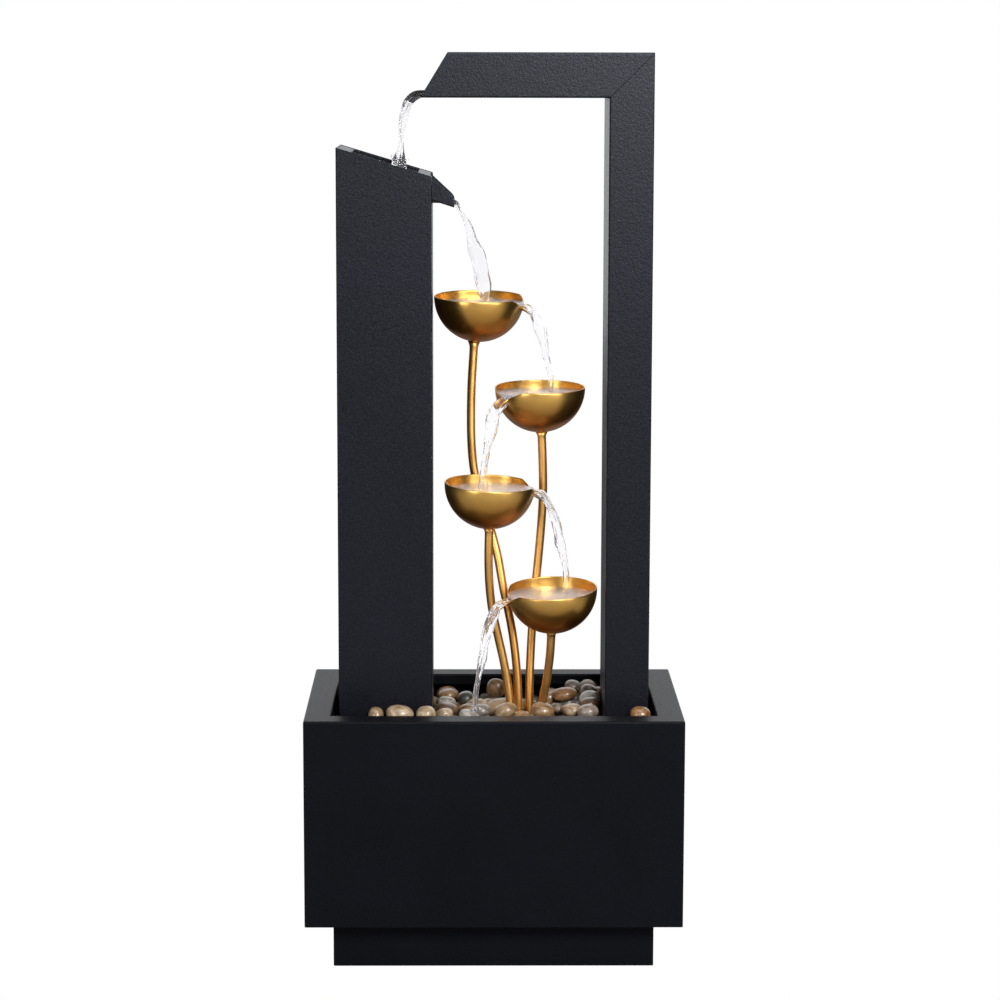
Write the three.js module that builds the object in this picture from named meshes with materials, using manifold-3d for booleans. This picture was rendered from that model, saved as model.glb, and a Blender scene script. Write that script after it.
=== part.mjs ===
// Cascading fountain: a black sheet-metal basin filled with river pebbles, a pillar and an arch that
// carry the water up and across, and four golden bowls on bent stems that pass it down in turns.
// Millimetres, +Z up. The origin is the middle of the footprint, on the floor. The front is -Y.
import * as THREE from 'three';
import { mergeVertices } from 'three/addons/utils/BufferGeometryUtils.js';
import Module from 'manifold-3d';

const wasm = await Module();
wasm.setup();

// ---------- driving dimensions ----------
const WIDTH = 350;              // basin, left to right
const DEPTH = 230;              // basin, front to back
const HEIGHT = 845;             // floor to the top of the arch
const SHEET = 1.5;              // folded steel sheet
const THIN = 1.2;               // spun and bent thin sheet
const GAP = 0.3;                // clearance left between pieces that touch

const PAD_HEIGHT = 2;
const SKIRT_BOTTOM = 0.3;       // the plinth's wall hides the pads down to here
const PLINTH_TOP = 45;
const PLINTH_INSET = 25.5;
const FLOOR_TOP = PLINTH_TOP + GAP + 2;
const RIM_TOP = 240;
const RIM_WIDTH = 25;
const RIM_PLATE = 2;
const RIM_LIP = 10;

const PILLAR = { left: -145, right: -57.5, half: 50, topLeft: 759, topRight: 733 };
const SLOT = { left: -131.5, right: -70, half: 46.5 };
const CHUTE = { half: 36, tip: -37, backFloor: 722, mouthFloor: 710.6, tipFloor: 704, cutBottom: 708 };
const COLUMN = { left: 104, right: 145, half: 50 };
const ARM_BOTTOM = HEIGHT - (COLUMN.right - COLUMN.left);
const ARM_TIP = { bottom: -68, top: -43 };

const TRAY_TOP = 198;
const TRAY_PLATE = 2;
const BED_TOP = 221;

const BOWL_RADIUS = 42.5;
const NOTCH_HALF = 23;
const NOTCH_DEPTH = 11;
const STEM_RADIUS = 4;

const PUMP = { halfWidth: 22, front: -6, back: 44, bottom: 56, top: 100, chamberFront: -18 };
const PUMP_AXIS = (PUMP.bottom + PUMP.top) / 2;
const HOSE_OUTER = 6;
const HOSE_BORE = 4.5;

// ---------- finishes ----------
const finish = (color, roughness, metalness) =>
  new THREE.MeshStandardMaterial({ color, roughness, metalness });
const blackPaint = () => finish(0x2a2b31, 0.45, 0.3);
const gold = () => finish(0xb8903c, 0.32, 1);
const stainless = () => finish(0xa8a9ab, 0.35, 1);
const rubber = () => finish(0x1b1b1c, 0.85, 0);
const pumpPlastic = () => finish(0x23272b, 0.5, 0);
const clearHose = () => finish(0xcfd6d8, 0.25, 0);
const ceramicWhite = () => finish(0xe9e6df, 0.3, 0);

// ---------- solids ----------
function solid(geometry) {
  const bare = geometry.index ? geometry.toNonIndexed() : geometry.clone();
  bare.deleteAttribute('normal');
  bare.deleteAttribute('uv');
  const merged = mergeVertices(bare, 1e-4);
  return new wasm.Manifold(new wasm.Mesh({
    numProp: 3,
    vertProperties: new Float32Array(merged.attributes.position.array),
    triVerts: new Uint32Array(merged.index.array),
  }));
}

function box(x0, x1, y0, y1, z0, z1) {
  const geometry = new THREE.BoxGeometry(x1 - x0, y1 - y0, z1 - z0);
  geometry.translate((x0 + x1) / 2, (y0 + y1) / 2, (z0 + z1) / 2);
  return solid(geometry);
}

// An outline of [x, z] corners, carried along Y from y0 to y1.
function alongY(corners, y0, y1) {
  const shape = new THREE.Shape(corners.map(([x, z]) => new THREE.Vector2(x, z)));
  const geometry = new THREE.ExtrudeGeometry(shape, { depth: y1 - y0, bevelEnabled: false, steps: 1 });
  geometry.rotateX(Math.PI / 2);
  geometry.translate(0, y1, 0);
  return solid(geometry);
}

// An outline of [y, z] corners, carried along X from x0 to x1.
function alongX(corners, x0, x1) {
  const shape = new THREE.Shape(corners.map(([y, z]) => new THREE.Vector2(y, z)));
  const geometry = new THREE.ExtrudeGeometry(shape, { depth: x1 - x0, bevelEnabled: false, steps: 1 });
  geometry.rotateY(Math.PI / 2);
  geometry.rotateX(Math.PI / 2);
  geometry.translate(x0, 0, 0);
  return solid(geometry);
}

function rod(radius, length, sides = 20) {
  return new THREE.CylinderGeometry(radius, radius, length, sides, 1);
}

function rodAlongZ(radius, x, y, z0, z1, sides) {
  const geometry = rod(radius, z1 - z0, sides);
  geometry.rotateX(Math.PI / 2);
  geometry.translate(x, y, (z0 + z1) / 2);
  return solid(geometry);
}

function rodAlongY(radius, x, z, y0, y1, sides) {
  const geometry = rod(radius, y1 - y0, sides);
  geometry.translate(x, (y0 + y1) / 2, z);
  return solid(geometry);
}

// A profile of [radius, height] corners turned about Z.
function turned(profile, sides) {
  const geometry = new THREE.LatheGeometry(profile.map(([r, h]) => new THREE.Vector2(r, h)), sides);
  geometry.rotateX(Math.PI / 2);
  return geometry;
}

function ring(radius, sides) {
  const shape = new THREE.Shape();
  for (let i = 0; i < sides; i += 1) {
    const angle = (2 * Math.PI * i) / sides;
    const x = radius * Math.cos(angle);
    const y = radius * Math.sin(angle);
    if (i === 0) shape.moveTo(x, y);
    else shape.lineTo(x, y);
  }
  shape.closePath();
  return shape;
}

// A round tube or bar along a curve.
function alongCurve(curve, outer, bore, sides, steps) {
  const shape = ring(outer, sides);
  if (bore > 0) shape.holes.push(ring(bore, sides));
  return new THREE.ExtrudeGeometry(shape, { extrudePath: curve, steps, bevelEnabled: false });
}

const curveThrough = (points) =>
  new THREE.CatmullRomCurve3(points.map(([x, y, z]) => new THREE.Vector3(x, y, z)), false, 'centripetal');

const fountain = new THREE.Group();

function place(name, geometry, material, parent = fountain) {
  const mesh = new THREE.Mesh(geometry, material);
  mesh.name = name;
  parent.add(mesh);
  return mesh;
}

function geometryOf(manifold) {
  const mesh = manifold.getMesh();
  const geometry = new THREE.BufferGeometry();
  geometry.setAttribute('position', new THREE.BufferAttribute(new Float32Array(mesh.vertProperties), 3));
  geometry.setIndex(new THREE.BufferAttribute(new Uint32Array(mesh.triVerts), 1));
  geometry.computeVertexNormals();
  return geometry;
}

const placeSolid = (name, manifold, material, parent) =>
  place(name, geometryOf(manifold), material, parent);

// ---------- basin ----------
const HALF_W = WIDTH / 2;
const HALF_D = DEPTH / 2;
const OPENING_W = HALF_W - RIM_WIDTH;
const OPENING_D = HALF_D - RIM_WIDTH;

function openBoxRing(halfW, halfD, wall, z0, z1) {
  const outer = box(-halfW, halfW, -halfD, halfD, z0, z1);
  const inner = box(wall - halfW, halfW - wall, wall - halfD, halfD - wall, z0 - 1, z1 + 1);
  return outer.subtract(inner);
}

function addPlinth() {
  const halfW = HALF_W - PLINTH_INSET;
  const halfD = HALF_D - PLINTH_INSET;
  const flange = 24;
  const wall = openBoxRing(halfW, halfD, SHEET, SKIRT_BOTTOM, PLINTH_TOP);
  const foot = openBoxRing(halfW, halfD, flange, PAD_HEIGHT, PAD_HEIGHT + SHEET);
  placeSolid('plinth', wall.add(foot), blackPaint());

  const padRadius = 9;
  const padInset = 13;
  let number = 1;
  for (const y of [padInset - halfD, halfD - padInset]) {
    for (const x of [padInset - halfW, halfW - padInset]) {
      const pad = rodAlongZ(padRadius, x, y, 0, PAD_HEIGHT - GAP, 14);
      placeSolid(`floor_pad_${number}`, pad, rubber());
      number += 1;
    }
  }
}

const GROMMET = { x: 60, z: 180, hole: 6 };

function addTank() {
  const bottom = PLINTH_TOP + GAP;
  const top = RIM_TOP - RIM_PLATE - GAP;
  const outer = box(-HALF_W, HALF_W, -HALF_D, HALF_D, bottom, top);
  const inner = box(SHEET - HALF_W, HALF_W - SHEET, SHEET - HALF_D, HALF_D - SHEET, FLOOR_TOP, top + 1);
  const cableHole = rodAlongY(GROMMET.hole, GROMMET.x, GROMMET.z, HALF_D - 5, HALF_D + 5, 20);
  placeSolid('basin_tank', outer.subtract(inner).subtract(cableHole), blackPaint());

  const plate = openBoxRing(HALF_W, HALF_D, RIM_WIDTH, RIM_TOP - RIM_PLATE, RIM_TOP);
  const lip = openBoxRing(OPENING_W + SHEET, OPENING_D + SHEET, SHEET, RIM_TOP - RIM_LIP, RIM_TOP);
  placeSolid('rim_frame', plate.add(lip), blackPaint());

  // The grommet's body fills the hole in the back wall, flush with the wall's outside.
  const flangeRadius = 9;
  const bore = 3;
  const profile = [
    [bore, 0], [GROMMET.hole - GAP, 0], [GROMMET.hole - GAP, SHEET + GAP], [flangeRadius, SHEET + GAP],
    [flangeRadius, 4], [GROMMET.hole, 8], [bore, 8], [bore, 0],
  ];
  const grommet = place('cable_grommet', turned(profile, 14), rubber());
  grommet.rotation.x = Math.PI / 2;
  grommet.position.set(GROMMET.x, HALF_D, GROMMET.z);
}

// Two perforated trays stand on corner posts above the water and carry the pebbles.
function addTray(name, x0, x1, cutout) {
  const halfD = HALF_D - 7;
  const post = 10;
  const bottom = TRAY_TOP - TRAY_PLATE;
  let tray = box(x0, x1, -halfD, halfD, bottom, TRAY_TOP);
  for (const x of [x0, x1 - post]) {
    for (const y of [-halfD, halfD - post]) {
      tray = tray.add(box(x, x + post, y, y + post, FLOOR_TOP + GAP, TRAY_TOP));
    }
  }
  const slotLength = 34;
  const slotWidth = 5;
  for (const y of [-92, -74, 56, 74]) {
    for (let x = x0 + 18; x < x1 - slotLength - 10; x += slotLength + 10) {
      tray = tray.subtract(box(x, x + slotLength, y, y + slotWidth, bottom - 1, TRAY_TOP + 1));
    }
  }
  const clear = 1;
  const hole = box(cutout.left - clear, cutout.right + clear, -cutout.half - clear, cutout.half + clear,
    bottom - 1, TRAY_TOP + 1);
  placeSolid(name, tray.subtract(hole), stainless());
}

// ---------- left pillar ----------
const pillarTopAt = (x) => PILLAR.topLeft
  + ((x - PILLAR.left) / (PILLAR.right - PILLAR.left)) * (PILLAR.topRight - PILLAR.topLeft);

function addPillar() {
  const outline = [
    [PILLAR.left, FLOOR_TOP + GAP], [PILLAR.right, FLOOR_TOP + GAP],
    [PILLAR.right, PILLAR.topRight], [PILLAR.left, PILLAR.topLeft],
  ];
  const shell = alongY(outline, -PILLAR.half, PILLAR.half);
  const hollow = box(PILLAR.left + SHEET, PILLAR.right - SHEET, SHEET - PILLAR.half, PILLAR.half - SHEET,
    0, HEIGHT);
  const spoutCut = box(PILLAR.right - 5, PILLAR.right + 5, -CHUTE.half - GAP, CHUTE.half + GAP,
    CHUTE.cutBottom, HEIGHT);
  placeSolid('pillar_shell', shell.subtract(hollow).subtract(spoutCut), blackPaint());

  // A slanted top plate, flush with the shell, with the long slot that takes the falling water.
  const left = PILLAR.left + SHEET + GAP;
  const right = PILLAR.right - SHEET - GAP;
  const half = PILLAR.half - SHEET - GAP;
  const plate = alongY([
    [left, pillarTopAt(left) - SHEET], [right, pillarTopAt(right) - SHEET],
    [right, pillarTopAt(right)], [left, pillarTopAt(left)],
  ], -half, half);
  const slot = box(SLOT.left, SLOT.right, -SLOT.half, SLOT.half, 700, HEIGHT);
  placeSolid('pillar_top_plate', plate.subtract(slot), blackPaint());
}

// The chute catches the water inside the pillar and pours it from the right face.
function addChute() {
  const start = PILLAR.left + 3;
  const mouth = PILLAR.right;
  const { half, tip, backFloor, mouthFloor, tipFloor } = CHUTE;
  const beyond = tip + 5;
  const floorFall = (mouthFloor - tipFloor) / (tip - mouth);
  const floor = [[start, backFloor], [mouth, mouthFloor], [tip, tipFloor]];
  const sides = [[tip, 711], [tip - 1.2, 713.6], [mouth, 730.8], [mouth - 4, 731.2], [start, 740]];
  const outer = alongY([...floor, ...sides], -half, half);
  const inner = alongY([
    [start + THIN, backFloor + THIN], [mouth, mouthFloor + THIN],
    [beyond, tipFloor + THIN - floorFall * (beyond - tip)], [beyond, HEIGHT], [start + THIN, HEIGHT],
  ], THIN - half, half - THIN);
  placeSolid('pillar_chute', outer.subtract(inner), blackPaint());
}

// ---------- arch ----------
function addArch() {
  const post = alongY([
    [COLUMN.left, FLOOR_TOP + GAP], [COLUMN.right, FLOOR_TOP + GAP],
    [COLUMN.right, HEIGHT - GAP], [COLUMN.left, ARM_BOTTOM - GAP],
  ], -COLUMN.half, COLUMN.half);
  const postHollow = box(COLUMN.left + SHEET, COLUMN.right - SHEET,
    SHEET - COLUMN.half, COLUMN.half - SHEET, 0, HEIGHT + 5);
  const hoseSlot = box(COLUMN.left - 5, COLUMN.left + 5, -12, 12, 100, 165);
  placeSolid('arch_column', post.subtract(postHollow).subtract(hoseSlot), blackPaint());

  const arm = alongY([
    [ARM_TIP.bottom, ARM_BOTTOM], [COLUMN.left - GAP, ARM_BOTTOM],
    [COLUMN.right - GAP, HEIGHT], [ARM_TIP.top, HEIGHT],
  ], -COLUMN.half, COLUMN.half);
  const armHollow = box(ARM_TIP.bottom - 5, COLUMN.right + 5, SHEET - COLUMN.half, COLUMN.half - SHEET,
    ARM_BOTTOM + SHEET, HEIGHT - SHEET);
  placeSolid('arch_arm', arm.subtract(armHollow), blackPaint());

  // The end plate closes the slanted end, down to the water slot.
  const slotTop = ARM_BOTTOM + 14;
  const endAt = (z) => ARM_TIP.bottom + GAP
    + ((z - ARM_BOTTOM) / (HEIGHT - ARM_BOTTOM)) * (ARM_TIP.top - ARM_TIP.bottom);
  const plateTop = HEIGHT - SHEET - GAP;
  const half = COLUMN.half - SHEET - GAP;
  const endPlate = alongY([
    [endAt(slotTop), slotTop], [endAt(slotTop) + SHEET, slotTop],
    [endAt(plateTop) + SHEET, plateTop], [endAt(plateTop), plateTop],
  ], -half, half);
  placeSolid('arm_end_plate', endPlate, blackPaint());

  // The lip leads the sheet of water clear of the arm and bends it down.
  const seat = ARM_BOTTOM + SHEET + GAP;
  const root = ARM_TIP.bottom + 16;
  const lipHalf = 24;
  const lip = alongY([
    [root, seat], [root, seat + THIN], [-68, seat + THIN], [-73.5, seat + 0.3], [-79, ARM_BOTTOM - 4.2],
    [-78.2, ARM_BOTTOM - 5.2], [-72.7, seat - 1.2], [-67.6, seat],
  ], -lipHalf, lipHalf);
  placeSolid('arm_lip', lip, blackPaint());

  // A shallow trough under the hose spreads the water over the arm's width.
  const [troughLeft, troughRight, troughHalf, troughDeep] = [-20, 30, 46, 15];
  const trough = box(troughLeft, troughRight, -troughHalf, troughHalf, seat, seat + troughDeep).subtract(
    box(troughLeft + THIN, troughRight - THIN, THIN - troughHalf, troughHalf - THIN, seat + THIN,
      seat + troughDeep + 5));
  placeSolid('arm_diffuser', trough, stainless());
}

// ---------- bowls ----------
// Rim centre, lean of the rim about X and Y in degrees, and the direction of the pouring notch.
const BOWLS = [
  { at: [-13.8, 16, 618.1], lean: [3.4, 0.6], pours: -10 },
  { at: [43.5, 8, 533.6], lean: [2.5, 0], pours: 213 },
  { at: [-3.7, -27, 446.9], lean: [2.9, 2.5], pours: 10 },
  { at: [54.6, -27, 347.5], lean: [4.8, -1.8], pours: 190 },
];

// A half ball of thin sheet with a V cut in its rim, and a V channel bent out of the cut.
function bowlShape() {
  const bands = 6;
  const outer = [];
  const inner = [];
  for (let i = 0; i <= bands; i += 1) {
    const angle = (Math.PI / 2) * (i / bands);
    outer.push([BOWL_RADIUS * Math.sin(angle), -BOWL_RADIUS * Math.cos(angle)]);
    inner.unshift([(BOWL_RADIUS - THIN) * Math.sin(angle), -(BOWL_RADIUS - THIN) * Math.cos(angle)]);
  }
  outer[0][0] = 0;
  inner[bands][0] = 0;
  const shell = solid(turned([...outer, ...inner], 26));
  const notch = alongX([
    [-NOTCH_HALF * 1.2, 0.2 * NOTCH_DEPTH], [0, -NOTCH_DEPTH], [NOTCH_HALF * 1.2, 0.2 * NOTCH_DEPTH],
  ], 20, BOWL_RADIUS + 5);

  const channelHalf = 10;
  const channelDepth = 6.5;
  const channelLength = 13;
  const corners = [
    [-channelHalf, channelDepth], [0, 0], [channelHalf, channelDepth],
    [channelHalf, channelDepth + THIN * 1.3], [0, THIN * 1.3], [-channelHalf, channelDepth + THIN * 1.3],
  ];
  const shape = new THREE.Shape(corners.map(([y, z]) => new THREE.Vector2(y, z)));
  const channel = new THREE.ExtrudeGeometry(shape, { depth: channelLength, bevelEnabled: false });
  channel.rotateY(Math.PI / 2);
  channel.rotateX(Math.PI / 2);
  channel.rotateY(THREE.MathUtils.degToRad(28));
  channel.translate(BOWL_RADIUS - 4, 0, -NOTCH_DEPTH - 1);
  return shell.subtract(notch).add(solid(channel));
}

function addBowls() {
  const shape = geometryOf(bowlShape());
  BOWLS.forEach((bowl, i) => {
    const mesh = place(`bowl_${i + 1}`, shape, gold());
    mesh.position.set(...bowl.at);
    const [aboutX, aboutY] = bowl.lean.map(THREE.MathUtils.degToRad);
    mesh.rotation.set(aboutX, aboutY, THREE.MathUtils.degToRad(bowl.pours));
  });
}

// Centre lines of the bent stems, from under each bowl down to the foot plate.
const STEM_FOOT = TRAY_TOP + GAP + 3 + GAP;
const STEMS = [
  [[-18.6, 18.5, 575], [-21.1, 18, 530], [-21, 19, 480], [-17.8, 20, 449], [-7.6, 18.5, 413],
    [2.8, 14, 377], [10, 10, 338], [16.5, 8, 308], [21.5, 7, 272], [24, 7, 229], [24, 7, STEM_FOOT]],
  [[45.2, 10, 490.6], [46.4, 12, 462], [46.9, 15, 434], [45.7, 18, 405], [43, 19.5, 371],
    [39.8, 19.5, 337], [36.7, 19, 294], [35.2, 17, 260], [34.6, 15, 227], [34.6, 15, STEM_FOOT]],
  [[-4.4, -25, 403.9], [-4.9, -22, 379], [-4.1, -16, 351], [-1.5, -11, 326], [4.5, -7, 297],
    [10.6, -5, 269], [16, -4, 231], [17, -4, STEM_FOOT]],
  [[54.4, -23.4, 304.6], [53.4, -19, 283], [51, -12, 260], [48, -5, 240], [46.2, -2, 225],
    [46, -2, STEM_FOOT]],
];

function addStems() {
  STEMS.forEach((points, i) => {
    const steps = 2 * points.length;
    place(`stem_${i + 1}`, alongCurve(curveThrough(points), STEM_RADIUS, 0, 8, steps), gold());
  });
  const foot = box(8, 56, -12, 26, TRAY_TOP + GAP, TRAY_TOP + GAP + 3);
  placeSolid('stem_foot_plate', foot, stainless());
}

// ---------- pebbles ----------
function addPebbleBed() {
  const bottom = TRAY_TOP + GAP;
  const clear = 1;
  let bed = box(-HALF_W + 7, HALF_W - 7, -HALF_D + 9, HALF_D - 9, bottom, BED_TOP);
  for (const post of [PILLAR, COLUMN]) {
    bed = bed.subtract(box(post.left - clear, post.right + clear, -post.half - clear, post.half + clear,
      bottom - 1, BED_TOP + 1));
  }
  bed = bed.subtract(box(7, 57, -13, 27, bottom - 1, BED_TOP + 1));
  placeSolid('pebble_bed', bed, finish(0x8a7c68, 0.4, 0));
}

// The largest loose pebbles: centre, half sizes, and turn about Z in degrees, with their colour.
const PEBBLES = [
  { at: [-88, -69, 236.5], half: [13.5, 10, 8], turn: 0, color: 0xd8c8a4 },
  { at: [-63.5, -70, 236], half: [9.5, 9, 8], turn: 0, color: 0xd2c19c },
  { at: [-110, -70, 235], half: [7.5, 9, 8], turn: 0, color: 0xcfc0a0 },
  { at: [-44, 43, 229], half: [10.5, 9, 6], turn: 8, color: 0xa68660 },
  { at: [-45, 12, 229], half: [9.5, 8, 5.5], turn: 0, color: 0xb9b6ae },
  { at: [-44, -19, 229.5], half: [10.5, 10, 6], turn: -6, color: 0x7c5a40 },
  { at: [-26.5, 26, 230], half: [8.5, 9, 6.5], turn: 15, color: 0x40463f },
  { at: [2.5, 49, 234.5], half: [9.5, 7, 9.5], turn: 0, color: 0x5e5340 },
  { at: [-12, -27, 230], half: [10, 10, 6], turn: 0, color: 0x8d857b },
  { at: [11, -32, 231], half: [11.5, 9, 7], turn: 10, color: 0xc9ad84 },
  { at: [46, -32, 231], half: [11.5, 10, 7.5], turn: -8, color: 0xb58f63 },
  { at: [78, 68, 232], half: [8.5, 8, 6.5], turn: 0, color: 0xa59c8c },
  { at: [69, 43, 230], half: [12.5, 9, 6.5], turn: 5, color: 0xb88a5b },
  { at: [92.3, 46, 231], half: [9, 9, 8], turn: 0, color: 0x4a382b },
  { at: [91.5, 4, 230], half: [9.5, 9, 5.5], turn: 0, color: 0x8c6a5c },
  { at: [75, -25, 230], half: [9.5, 9, 6], turn: 0, color: 0xd9d2bf },
  { at: [88, -46, 233], half: [10.5, 9, 7], turn: 0, color: 0xa8a094 },
  { at: [136, -70, 236], half: [10, 9, 7.5], turn: 0, color: 0x9a6a42 },
];

function addPebbles() {
  PEBBLES.forEach((pebble, i) => {
    const name = `pebble_${String(i + 1).padStart(2, '0')}`;
    const geometry = new THREE.SphereGeometry(1, 10, 6);
    geometry.rotateX(Math.PI / 2);
    geometry.scale(...pebble.half);
    const mesh = place(name, geometry, finish(pebble.color, 0.35, 0));
    mesh.position.set(...pebble.at);
    mesh.rotation.z = THREE.MathUtils.degToRad(pebble.turn);
  });
}

// ---------- pump ----------
const SHAFT_RADIUS = 1.5;
const ROTOR_BORE = 1.62;
const CHAMBER_RADIUS = 20;
const NOZZLE = { y: -12, outer: 5, bore: 3.5, top: 116 };

function addPumpBody() {
  const housing = box(-PUMP.halfWidth, PUMP.halfWidth, PUMP.front, PUMP.back, PUMP.bottom, PUMP.top);
  const chamber = rodAlongY(CHAMBER_RADIUS, 0, PUMP_AXIS, PUMP.chamberFront, PUMP.front + 1, 28);
  const nozzle = rodAlongZ(NOZZLE.outer, 0, NOZZLE.y, PUMP_AXIS + 15, NOZZLE.top, 16);
  const chamberHollow = rodAlongY(16.5, 0, PUMP_AXIS, PUMP.chamberFront - 1, PUMP.front, 28);
  const rotorHollow = rodAlongY(10.5, 0, PUMP_AXIS, PUMP.front - 1, 28, 24);
  const shaftHole = rodAlongY(SHAFT_RADIUS + 0.25, 0, PUMP_AXIS, 27, 34, 16);
  const nozzleBore = rodAlongZ(NOZZLE.bore, 0, NOZZLE.y, PUMP_AXIS + 8, NOZZLE.top + 1, 16);
  const body = housing.add(chamber).add(nozzle)
    .subtract(chamberHollow).subtract(rotorHollow).subtract(shaftHole).subtract(nozzleBore);
  placeSolid('pump_body', body, pumpPlastic());

  // The volute cover closes the chamber; four holes round its boss let the water in.
  const coverBack = PUMP.chamberFront - GAP;
  let cover = rodAlongY(CHAMBER_RADIUS, 0, PUMP_AXIS, coverBack - 2.5, coverBack, 28);
  for (let i = 0; i < 4; i += 1) {
    const angle = (Math.PI / 2) * i + Math.PI / 4;
    cover = cover.subtract(rodAlongY(3, 8 * Math.cos(angle), PUMP_AXIS + 8 * Math.sin(angle),
      coverBack - 5, coverBack + 5, 12));
  }
  cover = cover.subtract(rodAlongY(SHAFT_RADIUS + 0.25, 0, PUMP_AXIS, coverBack - 1.5, coverBack + 5, 16));
  placeSolid('volute_cover', cover, pumpPlastic());

  const shaft = rodAlongY(SHAFT_RADIUS, 0, PUMP_AXIS, coverBack - 1.2, 33.5, 16);
  placeSolid('impeller_shaft', shaft, ceramicWhite());
}

function addImpeller() {
  const rotor = rodAlongY(9.7, 0, PUMP_AXIS, PUMP.front + 1, 26.5, 20);
  const disc = rodAlongY(15, 0, PUMP_AXIS, PUMP.front - 3, PUMP.front - 1, 24);
  const hub = rodAlongY(4, 0, PUMP_AXIS, PUMP.chamberFront + 1, PUMP.front + 2, 16);
  let impeller = rotor.add(disc).add(hub);
  const blades = 6;
  for (let i = 0; i < blades; i += 1) {
    const blade = new THREE.BoxGeometry(11.5, 7.5, 1.4);
    blade.translate(9, PUMP.front - 6.2, 0);
    blade.rotateY((2 * Math.PI * i) / blades);
    blade.translate(0, 0, PUMP_AXIS);
    impeller = impeller.add(solid(blade));
  }
  const bore = rodAlongY(ROTOR_BORE, 0, PUMP_AXIS, PUMP.chamberFront - 5, 40, 16);
  placeSolid('impeller', impeller.subtract(bore), ceramicWhite());
}

function addStrainer() {
  const front = -44;
  const back = -21.6;
  const wall = 1.8;
  const low = PUMP.bottom + 1;
  const high = PUMP.top + 1;
  const shell = box(-24, 24, front, back, low, high);
  const hollow = box(wall - 24, 24 - wall, front + wall, back + 5, low + wall, high - wall);
  let strainer = shell.subtract(hollow);
  for (const x of [-20, -13.5, 10.5, 17]) {
    strainer = strainer.subtract(box(x, x + 3, front - 2, front + 4, low + 6, high - 6));
  }
  strainer = strainer.subtract(rodAlongY(3.4, 0, PUMP_AXIS, front - 5, front + 5, 16));
  placeSolid('strainer_cover', strainer, pumpPlastic());

  // The flow knob: a ribbed button outside, a stem through the cover and a half-moon shutter inside.
  const button = rodAlongY(7, 0, PUMP_AXIS, front - 4.3, front - 0.3, 18);
  const stem = rodAlongY(3, 0, PUMP_AXIS, front - 2, front + wall + 2, 16);
  const grip = box(-1.2, 1.2, front - 7, front - 4, PUMP_AXIS - 6, PUMP_AXIS + 6);
  const disc = rodAlongY(14, 0, PUMP_AXIS, front + wall + 0.4, front + wall + 2, 24);
  const lowerHalf = box(-15, 15, front, front + 10, PUMP_AXIS - 15, PUMP_AXIS - 3.5);
  const knob = button.add(stem).add(grip).add(disc.subtract(lowerHalf));
  placeSolid('flow_knob', knob, finish(0x3d6a86, 0.5, 0));
}

function addSuctionCups() {
  const profile = [[0, 2.5], [4, 2.2], [8.5, 0], [9, 0.4], [5, 4], [3.2, 5], [3.2, 8.2], [0, 8.2]];
  let number = 1;
  for (const y of [6, 34]) {
    for (const x of [-13, 13]) {
      const cup = place(`suction_cup_${number}`, turned(profile, 10), rubber());
      cup.position.set(x, y, FLOOR_TOP + GAP / 2);
      number += 1;
    }
  }
}

function addHose() {
  // The elbow turns the pump's outlet from upwards to the right.
  const turn = 16;
  const start = NOZZLE.top - 8;
  const elbowPoints = [];
  for (let i = 0; i <= 6; i += 1) {
    const angle = (Math.PI / 2) * (i / 6);
    elbowPoints.push([turn - turn * Math.cos(angle), NOZZLE.y, start + 10 + turn * Math.sin(angle)]);
  }
  elbowPoints.unshift([0, NOZZLE.y, start]);
  elbowPoints.push([turn + 8, NOZZLE.y, start + 10 + turn]);
  place('outlet_elbow', alongCurve(curveThrough(elbowPoints), 8, 5.6, 12, 10), pumpPlastic());

  // The supply hose leaves the elbow, enters the column low down, climbs it and turns into the arm.
  const z0 = start + 10 + turn;
  const x0 = turn + 8 + GAP;
  const riserX = 130;
  const bend = 60;
  const armZ = 830;
  const route = [[x0, NOZZLE.y, z0], [x0 + 22, NOZZLE.y, z0], [70, -6, z0 - 2], [92, 0, z0], [112, 0, z0 + 9],
    [125, 0, z0 + 28], [riserX, 0, z0 + 56], [riserX, 0, 300], [riserX, 0, 500], [riserX, 0, 700]];
  for (let i = 0; i <= 5; i += 1) {
    const angle = (Math.PI / 2) * (i / 5);
    route.push([riserX - bend + bend * Math.cos(angle), 0, armZ - bend + bend * Math.sin(angle)]);
  }
  route.push([40, 0, armZ], [6, 0, armZ]);
  place('supply_hose', alongCurve(curveThrough(route), HOSE_OUTER, HOSE_BORE, 8, 40), clearHose());

  const clampFrom = x0 + 4;
  const clamp = new THREE.Shape(ring(8, 18).getPoints());
  clamp.holes.push(ring(HOSE_OUTER + 0.8, 18));
  const band = new THREE.ExtrudeGeometry(clamp, { depth: 7, bevelEnabled: false });
  band.rotateY(Math.PI / 2);
  band.translate(clampFrom, NOZZLE.y, z0);
  place('hose_clamp', band, stainless());
}

addPlinth();
addTank();
addTray('tray_left', -168, -1, PILLAR);
addTray('tray_right', 1, 168, COLUMN);
addPillar();
addChute();
addArch();
addBowls();
addStems();
addPebbleBed();
addPebbles();
addPumpBody();
addImpeller();
addStrainer();
addSuctionCups();
addHose();

export default fountain;
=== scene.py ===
# %% [markdown]
# # A cascading bowl fountain
# A black sheet-metal basin holds a pump, two perforated trays and a bed of river pebbles. The pump
# lifts the water up the right column and along the arm. It falls into the left pillar, runs down a
# chute and then from one golden bowl to the next. The frame comes from the CAD model and is fixed:
# every new surface below is placed by the boxes and meshes of the CAD nodes that it stands for.

# %% Load the fixed frame
import math

import bmesh
import bpy
import numpy as np
from mathutils import Matrix, Vector


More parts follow.
